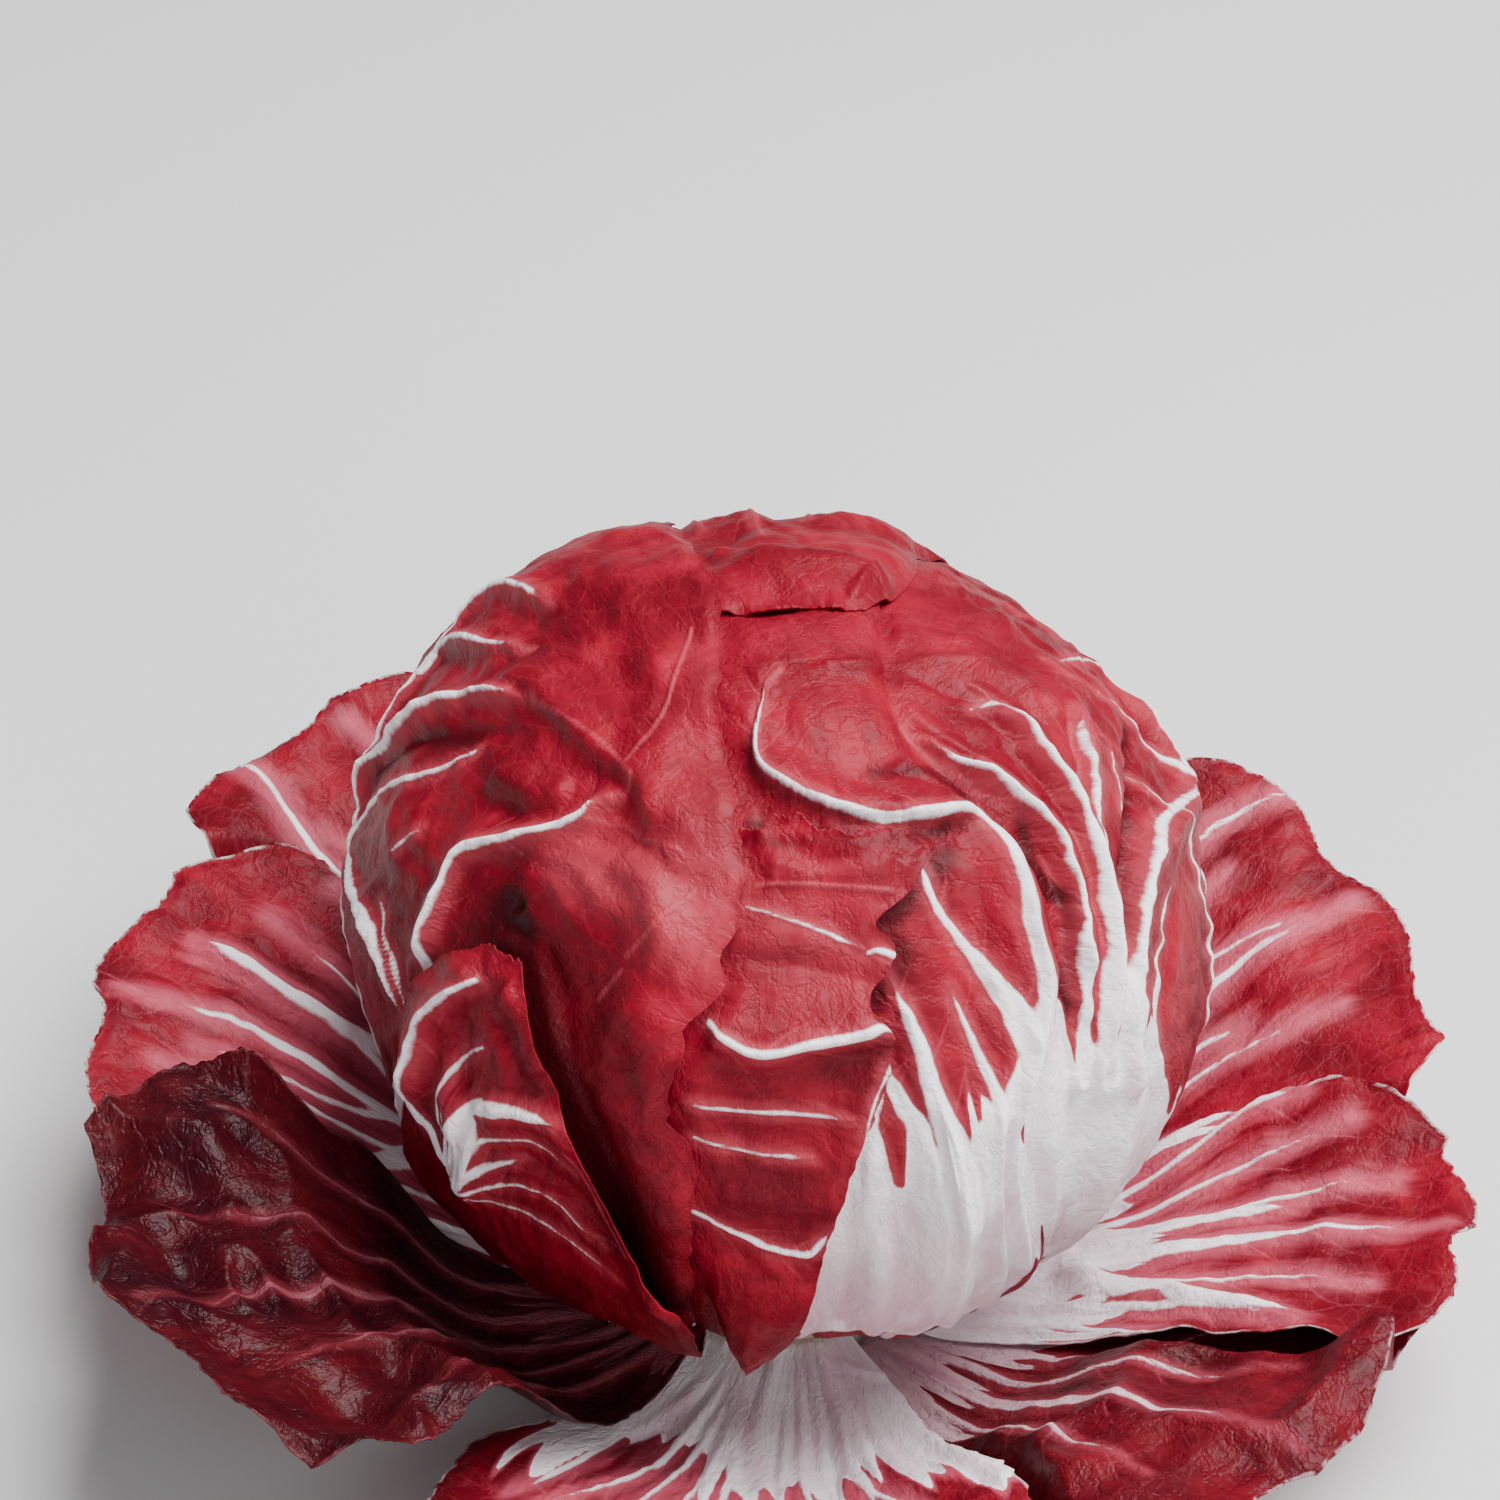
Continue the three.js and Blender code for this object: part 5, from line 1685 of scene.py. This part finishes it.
def outer_leaves() -> list[OuterLeaf]:
    """Draws the loose outer leaves.

    Returns:
        The leaves, from the lowest to the uppermost.
    """
    under = OuterLeaf(
        name="outer_under_front_right",
        node="outer_leaf_under_front_right",
        left=plan((18, -5), (38, -11), (60, -17), (80, -24), (93, -33)),
        middle=plan((12.5, -14), (26, -31), (42, -48), (58, -62), (73, -72)),
        right=plan((7, -17.5), (14, -38), (22, -59), (32, -77), (48, -88)),
        ruffle=4.5,
        crumple=2.6,
        ribs=plan_ribs(((12.5, -14), (42, -48), (73, -72)), 5),
        finish=SHADED_SKIN,
    )
    right = OuterLeaf(
        name="outer_right",
        node="outer_leaf_right",
        left=plan((18.5, -1), (38, -4), (61, -7), (84, 0), (97, 14)),
        middle=plan((17.5, 6), (34, 16), (53, 27), (73, 38), (91, 46)),
        right=plan((14, 12.5), (24, 33), (37, 54), (53, 68), (71, 70)),
        ribs=[
            Rib(bowl_px((1150, 985), (1189, 965), (1302, 919)), (1.2, 0.7, 0.5)),
            Rib(bowl_px((1150, 1065), (1173, 1052), (1245, 1016)), (1.0, 0.5)),
            Rib(bowl_px((1195, 840), (1219, 822), (1302, 797)), (0.9, 0.5)),
            *plan_ribs(((17.5, 6), (53, 27), (91, 46)), 5),
        ],
    )
    back_left = OuterLeaf(
        name="outer_back_left",
        node="outer_leaf_back_left",
        left=plan((-5, 18), (-8, 39), (-12, 61), (-21, 84), (-36, 95)),
        middle=plan((-11.5, 14.5), (-25, 30), (-41, 48), (-57, 65), (-70, 79)),
        right=plan((-16, 9), (-35, 15), (-58, 25), (-79, 39), (-90, 56)),
        ribs=[
            Rib(bowl_px((345, 879), (309, 838), (263, 787), (197, 738)), (1.4, 1.0, 0.7)),
            *plan_ribs(((-11.5, 14.5), (-41, 48), (-70, 79)), 5),
        ],
    )
    back = OuterLeaf(
        name="outer_back",
        node="outer_leaf_back",
        left=plan((12.5, 13.5), (29, 31), (45, 50), (55, 68), (50, 87)),
        middle=plan((6, 17.5), (11, 38), (16, 60), (20, 82), (21, 101)),
        right=plan((-1, 18.5), (-6, 40), (-12, 62), (-15, 84), (-4, 98)),
        ribs=plan_ribs(((6, 17.5), (16, 60), (21, 101)), 7),
    )
    left = OuterLeaf(
        name="outer_left",
        node="outer_leaf_left",
        left=plan((-15.5, 10), (-33, 23), (-52, 36), (-73, 46), (-91, 40)),
        middle=plan((-18, 4), (-37, 8), (-57, 12), (-78, 16), (-101, 18)),
        right=plan((-18, -4), (-38, -12), (-60, -18), (-82, -20), (-97, -8)),
        grid=(150, 150),
        ribs=[
            Rib(bowl_px((401, 1067), (340, 1032), (274, 991), (197, 945)), (2.4, 1.9, 1.5), 0.7),
            Rib(bowl_px((416, 1123), (299, 1083), (197, 1047)), (1.2, 0.7)),
            Rib(bowl_px((432, 1149), (350, 1159), (299, 1149), (197, 1118)), (3.6, 2.4, 1.6), 0.6),
            *plan_ribs(((-18, 4), (-57, 12), (-101, 18)), 7),
        ],
        folds=[Fold(bowl_px((401, 1067), (340, 1032), (274, 991), (197, 945)), 1.6, 2.6, 3.6)],
    )
    front = OuterLeaf(
        name="outer_front",
        node="outer_leaf_front",
        left=plan((-11, -12), (-28, -33), (-43, -56), (-49, -80), (-33, -96)),
        middle=plan((0.5, -16.5), (-3, -40), (-4, -62), (-5, -84), (-6, -102)),
        right=plan((10, -13), (20, -36), (31, -59), (37, -79), (24, -96)),
        grid=(170, 150),
        ribs=[
            Rib(bowl_px((749, 1330), (749, 1370), (750, 1440), (751, 1500)), (9.0, 7.0, 6.0, 5.0), 0.4),
            Rib(bowl_px((715, 1365), (690, 1383), (638, 1413), (582, 1448), (517, 1483)),
                (3.0, 1.4, 0.9)),
            Rib(bowl_px((660, 1365), (595, 1392), (534, 1405)), (2.0, 0.8)),
            Rib(bowl_px((770, 1375), (803, 1409), (833, 1435), (864, 1465), (881, 1500)),
                (2.4, 1.4, 1.0)),
            Rib(bowl_px((820, 1352), (864, 1366), (929, 1366)), (2.0, 0.9)),
            *plan_ribs(((0.5, -18.5), (-4, -62), (-6, -102)), 9),
        ],
        flame=0.42,
    )
    front_right = OuterLeaf(
        name="outer_front_right",
        node="outer_leaf_front_right",
        left=plan((15.5, 5), (38, 8), (59, 9), (81, 6), (96, -6)),
        middle=plan((16.5, -3), (38, -7), (58, -13), (79, -19), (98, -25)),
        right=plan((12, -11.5), (35, -22), (55, -33), (75, -43), (90, -42)),
        grid=(150, 150),
        ribs=[
            Rib(bowl_px((1056, 1262), (1102, 1290), (1163, 1288), (1179, 1300), (1301, 1328)),
                (5.0, 3.6, 2.4), 0.6),
            Rib(bowl_px((1100, 1180), (1128, 1169), (1219, 1123), (1302, 1103)), (3.2, 1.6, 1.0)),
            Rib(bowl_px((1110, 1155), (1143, 1139), (1265, 1083)), (2.4, 1.0, 0.6)),
            Rib(bowl_px((1090, 1245), (1120, 1235), (1168, 1225), (1302, 1200)), (3.6, 2.0, 0.9)),
            Rib(bowl_px((1077, 1256), (1204, 1251)), (3.0, 1.2)),
            *plan_ribs(((18.5, -3), (58, -13), (98, -25)), 7),
        ],
        flame=0.4,
        folds=[Fold(bowl_px((1056, 1266), (1102, 1293), (1179, 1303), (1301, 1331)), 1.8, 3.0, 2.0)],
    )
    front_left = OuterLeaf(
        name="outer_front_left",
        node="outer_leaf_front_left",
        left=plan((-18.5, -4), (-38, -7), (-60, -6), (-83, -8), (-97, -20)),
        middle=plan((-16, -10), (-32, -23), (-51, -36), (-72, -48), (-90, -58)),
        right=plan((-11, -15), (-20, -37), (-31, -57), (-45, -74), (-62, -83)),
        grid=(200, 190),
        ruffle=5.0,
        crumple=4.2,
        ribs=plan_ribs(((-16, -10), (-51, -36), (-90, -58)), 5),
        flame=0.1,
        finish=DARK_SKIN,
    )
    return [under, right, back_left, back, left, front, front_right, front_left]


def plan_ribs(line: tuple[Pixel, Pixel, Pixel], count: int) -> list[Rib]:
    """A midrib along a leaf of the bowl, and ribs that fan out from its base.

    Args:
        line: The leaf's middle line in plan: its base, its middle and its tip.
        count: How many ribs.

    Returns:
        The ribs, broad at the base.
    """
    start, through, tip = (np.array(p, float) for p in line)
    length = np.linalg.norm(tip - start)
    ribs = []
    for k in range(count):
        lean = 2 * k / (count - 1) - 1
        reach = 0.92 - 0.3 * abs(lean)
        out = unit(tip - start)
        aside = np.array([-out[1], out[0]])
        foot = start + aside * 5 * lean
        middle = start + (through - start) * 0.85 * (1 - 0.12 * abs(lean)) + aside * 0.17 * length * lean
        end = start + (tip - start) * reach + aside * 0.4 * length * lean * (1 - 0.15 * abs(lean))
        broad = 5.5 if k == count // 2 else 3.2
        course = [foot, 0.5 * (foot + middle), middle, end]
        ribs.append(Rib(course, (broad, 0.5 * broad, 0.25 * broad, 0.25), 0.5))
    return ribs


GOLDEN_ANGLE = math.radians(137.5)
FIBRE_RING = 9.2 * MM


@dataclass
class Heart:
    """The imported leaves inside, sunk clear of the leaves' grooves.

    Args:
        around: How many points each ring has.
        rise: How many rings there are.
        sink: How far it lies under the head leaves' own heart, in millimetres.
    """

    around: int = 180
    rise: int = 120
    sink: float = 8.5

    def build(self) -> bpy.types.Object:
        """Makes the heart's closed mesh.

        Returns:
            The finished piece.
        """
        azimuth = np.linspace(0, 2 * math.pi, self.around, endpoint=False)
        elevation = np.radians(np.linspace(-66, 88, self.rise))
        a, e = np.meshgrid(azimuth, elevation)
        directions = np.stack([np.cos(e) * np.cos(a), np.cos(e) * np.sin(a), np.sin(e)], -1)
        turn = 5 * a + 4 * np.sin(e)
        radius = heart_radius(directions) - self.sink - 0.5 * (1 + np.sin(turn)) * np.cos(e)
        rings = HEAD_CENTRE + directions * radius[..., None]
        rings[0, :, 2] = rings[0, :, 2].mean()
        top, foot = rings[-1].mean(axis=0), rings[0].mean(axis=0)
        points = np.vstack([rings.reshape(-1, 3), top, foot]) * MM
        index = np.arange(self.around * self.rise).reshape(self.rise, self.around)
        after = np.roll(index, -1, axis=1)
        quads = np.stack([c.ravel() for c in (index[:-1], after[:-1], after[1:], index[1:])], 1).tolist()
        caps = [[index[-1, i], after[-1, i], len(points) - 2] for i in range(self.around)]
        caps += [[after[0, i], index[0, i], len(points) - 1] for i in range(self.around)]
        mesh = bpy.data.meshes.new("packed_heart")
        mesh.from_pydata(points.tolist(), [], quads + [[int(k) for k in cap] for cap in caps])
        keep(mesh, {key: np.full(len(points), UNMEASURED) for key in ("rib", "edge", "vein")}, points / MM)
        mesh.materials.append(HEAD_SKIN.material())
        return enter(added("packed_heart", mesh), "heart", HEAD_SKIN.slot)


@dataclass(frozen=True)
class StemFinish:
    """The pale flesh of the stump, browned where it was cut.

    Args:
        name: The material's name.
        slot: The record's slot.
        flesh: The flesh.
        cut: What it browns to.
        bundle: The ring of fibres.
    """

    name: str = "stump_flesh"
    slot: str = "pale_flesh"
    flesh: Colour = (0.66, 0.56, 0.44)
    cut: Colour = (0.4, 0.24, 0.11)
    bundle: Colour = (0.24, 0.12, 0.05)

    def material(self) -> bpy.types.Material:
        """Paints the flesh from its Object coordinates.

        Returns:
            The material.
        """
        paint = Paint(self.name)
        space = paint.node("ShaderNodeTexCoord", {}, {}).value("Object")
        place = paint.node("ShaderNodeSeparateXYZ", {}, {0: space})
        across = paint.scaled(space, (1, 1, 0))
        radius = paint.node("ShaderNodeVectorMath", {"operation": "LENGTH"}, {0: across}).value("Value")
        blotches = paint.noise(space, 260.0, 4.0)
        grain = paint.noise(paint.scaled(space, (1, 1, 0.15)), 1400.0, 3.0)
        cut = 1 - (place.value("Z") + (blotches - 0.5) * (1.2 * MM)).step(0.4 * MM, 1.6 * MM)
        skin = paint.mix(blotches.step(0.4, 0.75) * 0.4, self.flesh, self.cut)
        face = paint.mix(blotches.step(0.35, 0.7), self.flesh, self.cut)
        ring = 1 - abs(radius - FIBRE_RING).step(0.2 * MM, 1.1 * MM)
        face = paint.mix(ring * 0.7, face, self.bundle)
        sockets = {"Height": grain + blotches, "Strength": 0.4, "Distance": 0.4 * MM}
        bump = paint.node("ShaderNodeBump", {}, sockets).value("Normal")
        return paint.finish({"Base Color": paint.mix(cut, skin, face), "Roughness": 0.6, "Normal": bump})


@dataclass
class Stump:
    """The cut stem: a turned body, with the ring of fibres in its cut and the scars of lost leaves.

    Args:
        finish: Its finish.
        profile: Radii and heights in millimetres, from the middle of the cut to the middle of the top.
        around: How many points each ring has.
        drift_low: How far a fibre may be off its place at least, in metres.
        drift_high: How far a fibre may be off its place at most.
        lowest_scar: The height of the lowest scar, in metres.
        scar_sweep: How far round the stump a scar runs, in radians.
        sizes: The inputs of the tree that grows the fibres and the scars.
    """

    finish: StemFinish = StemFinish()
    profile: Sequence[Pixel] = (
        (0.0, 0.35), (8.0, 0.3), (12.2, 0.15), (13.2, 0.0), (13.9, 0.1), (15.4, 1.4), (16.6, 4.0),
        (16.8, 8.0), (17.6, 12.0), (18.0, 14.2), (0.0, 14.2),
    )
    around: int = 120
    drift_low: Place = (-0.8 * MM, -0.8 * MM, 0.0)
    drift_high: Place = (0.8 * MM, 0.8 * MM, 0.3 * MM)
    lowest_scar: float = 3 * MM
    scar_sweep: float = 1.5
    sizes: dict[str, float] = field(
        default_factory=lambda: {
            "Fibre Count": 34,
            "Fibre Ring": FIBRE_RING,
            "Fibre Radius": 0.42 * MM,
            "Fibre Length": 2.0 * MM,
            "Scar Count": 8,
            "Scar Radius": 16.6 * MM,
            "Scar Thickness": 0.5 * MM,
            "Scar Step": 1.2 * MM,
            "Seed": 11,
        }
    )

    def turned(self) -> bpy.types.Mesh:
        """Turns the body from its profile.

        Returns:
            Its mesh.
        """
        angles = np.linspace(0, 2 * math.pi, self.around, endpoint=False)
        rings = [(r, z) for r, z in self.profile[1:-1]]
        uneven = 1 + 0.012 * np.sin(5 * angles + 1) + 0.008 * np.sin(11 * angles)
        points = [
            (r * math.cos(a) * k, r * math.sin(a) * k, z) for r, z in rings for a, k in zip(angles, uneven)
        ]
        points += [(0.0, 0.0, self.profile[0][1]), (0.0, 0.0, self.profile[-1][1])]
        n, faces = self.around, []
        for row in range(len(rings) - 1):
            for i in range(n):
                j = (i + 1) % n
                faces.append((row * n + i, row * n + j, (row + 1) * n + j, (row + 1) * n + i))
        top = (len(rings) - 1) * n
        faces += [((i + 1) % n, i, len(points) - 2) for i in range(n)]
        faces += [(top + i, top + (i + 1) % n, len(points) - 1) for i in range(n)]
        mesh = bpy.data.meshes.new("cut_stump")
        mesh.from_pydata([tuple(c * MM for c in p) for p in points], [], faces)
        mesh.shade_smooth()
        return mesh

    def fibres(self, tree: Tree, given: Made) -> Value:
        """Adds the ring of fibres in the cut: short upright rods, each a little off its place.

        Args:
            tree: The tree.
            given: Its inputs.

        Returns:
            The fibres.
        """
        count, length = given.value("Fibre Count"), given.value("Fibre Length")
        sockets = {"Vertices": count, "Radius": given.value("Fibre Ring")}
        ring = tree.node("GeometryNodeMeshCircle", {}, sockets)
        sockets = {0: self.drift_low, 1: self.drift_high, "Seed": given.value("Seed")}
        drift = tree.node("FunctionNodeRandomValue", {"data_type": "FLOAT_VECTOR"}, sockets)
        lift = tree.node("ShaderNodeCombineXYZ", {}, {"Z": length * 0.5 + 0.05 * MM})
        sockets = {0: drift.value(0), 1: lift.value()}
        shift = tree.node("ShaderNodeVectorMath", {"operation": "ADD"}, sockets)
        spots = tree.node("GeometryNodeSetPosition", {}, {0: ring.value(), "Offset": shift.value()})
        sockets = {"Vertices": 12, "Radius": given.value("Fibre Radius"), "Depth": length}
        fibre = tree.node("GeometryNodeMeshCylinder", {}, sockets)
        sockets = {"Points": spots.value(), "Instance": fibre.value()}
        return tree.node("GeometryNodeInstanceOnPoints", {}, sockets).value()

    def scars(self, tree: Tree, given: Made) -> Value:
        """Adds the scars of lost leaves: raised arcs that climb the stump, each a golden angle on.

        Args:
            tree: The tree.
            given: Its inputs.

        Returns:
            The scars.
        """
        step = tree.node("ShaderNodeCombineXYZ", {}, {"Z": given.value("Scar Step")})
        sockets = {
            "Count": given.value("Scar Count"),
            "Start Location": (0.0, 0.0, self.lowest_scar),
            "Offset": step.value(),
        }
        places = tree.node("GeometryNodeMeshLine", {}, sockets)
        sockets = {
            "Resolution": 28,
            "Radius": given.value("Scar Radius"),
            "Start Angle": 0.0,
            "Sweep Angle": self.scar_sweep,
        }
        arc = tree.node("GeometryNodeCurveArc", {}, sockets)
        sockets = {"Resolution": 10, "Radius": given.value("Scar Thickness")}
        section = tree.node("GeometryNodeCurvePrimitiveCircle", {}, sockets)
        sockets = {"Curve": arc.value(), "Profile Curve": section.value(), "Fill Caps": True}
        scar = tree.node("GeometryNodeCurveToMesh", {}, sockets)
        index = tree.node("GeometryNodeInputIndex", {}, {}).value()
        turn = tree.node("ShaderNodeCombineXYZ", {}, {"Z": index * GOLDEN_ANGLE})
        sockets = {"Points": places.value(), "Instance": scar.value(), "Rotation": turn.value()}
        return tree.node("GeometryNodeInstanceOnPoints", {}, sockets).value()

    def growth(self) -> bpy.types.NodeTree:
        """Builds the tree that adds the fibres and the leaf scars to the body.

        Returns:
            The tree.
        """
        group = bpy.data.node_groups.new("stump_growth", "GeometryNodeTree")
        face = group.interface
        face.new_socket("Geometry", in_out="INPUT", socket_type="NodeSocketGeometry")
        for name in self.sizes:
            kind = "NodeSocketInt" if name.endswith(("Count", "Seed")) else "NodeSocketFloat"
            face.new_socket(name, in_out="INPUT", socket_type=kind)
        face.new_socket("Geometry", in_out="OUTPUT", socket_type="NodeSocketGeometry")
        tree = Tree(group)
        given = tree.node("NodeGroupInput", {}, {})
        parts = [given.value("Geometry"), self.fibres(tree, given), self.scars(tree, given)]
        joined = tree.node("GeometryNodeJoinGeometry", {}, {})
        for part in parts:
            group.links.new(part.socket, joined.node.inputs[0])
        real = tree.node("GeometryNodeRealizeInstances", {}, {0: joined.value()})
        sockets = {"Geometry": real.value(), "Material": self.finish.material()}
        skin = tree.node("GeometryNodeSetMaterial", {}, sockets)
        tree.node("NodeGroupOutput", {}, {"Geometry": skin.value()})
        return group

    def build(self) -> bpy.types.Object:
        """Grows the stump and turns it into a plain mesh.

        Returns:
            The finished piece.
        """
        piece = added("cut_stump", self.turned())
        grown = piece.modifiers.new("growth", "NODES")
        grown.node_group = self.growth()
        for item in grown.node_group.interface.items_tree:
            if item.in_out == "INPUT" and item.name in self.sizes:
                grown[item.identifier] = self.sizes[item.name]
        ready = piece.evaluated_get(bpy.context.evaluated_depsgraph_get())
        mesh = bpy.data.meshes.new_from_object(ready)
        piece.modifiers.remove(grown)
        piece.data = mesh
        return enter(piece, "stump", self.finish.slot)


@dataclass
class Studio:
    """The camera, the pale floor and the soft light.

    Args:
        floor_size: The floor's side in metres.
        lamp_size: The side of each lamp.
        aim: What the lamps face.
    """

    floor_size: float = 8.0
    lamp_size: float = 0.8
    aim: Place = (0.0, 0.0, 0.06)

    def camera(self) -> None:
        """Puts the camera where the photograph was taken from."""
        middle = (PHOTO_SIDE / 2, PHOTO_SIDE / 2)
        x, y = EYE.millimetres(middle)
        eye = Vector((HEAD_CENTRE + EYE.eye) * MM)
        target = Vector((HEAD_CENTRE + EYE.right * x + EYE.up * y) * MM)
        data = bpy.data.cameras.new("camera")
        data.sensor_width = SENSOR
        data.lens = SENSOR * VIEW_DISTANCE / (PHOTO_SIDE * PHOTO_MM)
        data.clip_start = 0.01
        camera = added("camera", data)
        turned = (target - eye).to_track_quat("-Z", "Y").to_matrix().to_4x4()
        camera.matrix_world = Matrix.Translation(eye) @ turned
        bpy.context.scene.camera = camera

    def floor(self) -> None:
        """Lays the plain pale floor."""
        half = self.floor_size / 2
        mesh = bpy.data.meshes.new("floor")
        corners = [(-half, -half, 0), (half, -half, 0), (half, half, 0), (-half, half, 0)]
        mesh.from_pydata(corners, [], [(0, 1, 2, 3)])
        floor = added("floor", mesh)
        paint = Paint("pale_floor")
        mesh.materials.append(paint.finish({"Base Color": (0.72, 0.71, 0.7, 1.0), "Roughness": 0.8}))

    def lamp(self, name: str, place: Place, size: float, power: float, towards: Place) -> None:
        """Hangs one square soft lamp.

        Args:
            name: Its name.
            place: Where it hangs, in metres.
            size: Its side, in metres.
            power: Its power in watts.
            towards: The point that it faces.
        """
        data = bpy.data.lights.new(name, "AREA")
        data.size = size
        data.energy = power
        lamp = added(name, data)
        facing = (Vector(towards) - Vector(place)).to_track_quat("-Z", "Y").to_matrix().to_4x4()
        lamp.matrix_world = Matrix.Translation(Vector(place)) @ facing

    def light(self) -> None:
        """Hangs the soft light: a wide lamp above, and a weak one in front."""
        self.lamp("above", (0.4, -0.05, 1.15), self.lamp_size, 38.0, self.aim)
        self.lamp("front", (0.5, -1.2, 0.7), self.lamp_size, 9.0, self.aim)
        world = bpy.data.worlds.new("studio")
        world.use_nodes = True
        background = world.node_tree.nodes["Background"]
        background.inputs["Color"].default_value = (0.9, 0.92, 1.0, 1.0)
        background.inputs["Strength"].default_value = 0.2
        bpy.context.scene.world = world


def main() -> None:
    """Builds the studio and the plant."""
    logging.basicConfig(level=logging.INFO, format="%(message)s")
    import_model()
    studio = Studio()
    studio.camera()
    studio.floor()
    studio.light()
    Stump().build()
    Heart().build()
    for whorl, finish in ((head_leaves(), HEAD_SKIN), (outer_leaves(), OUTER_SKIN)):
        for i, leaf in enumerate(whorl):
            leaf.finish = leaf.finish or finish
            leaf.build(whorl[:i], whorl[i + 1 :])


if __name__ == "__main__":
    main()
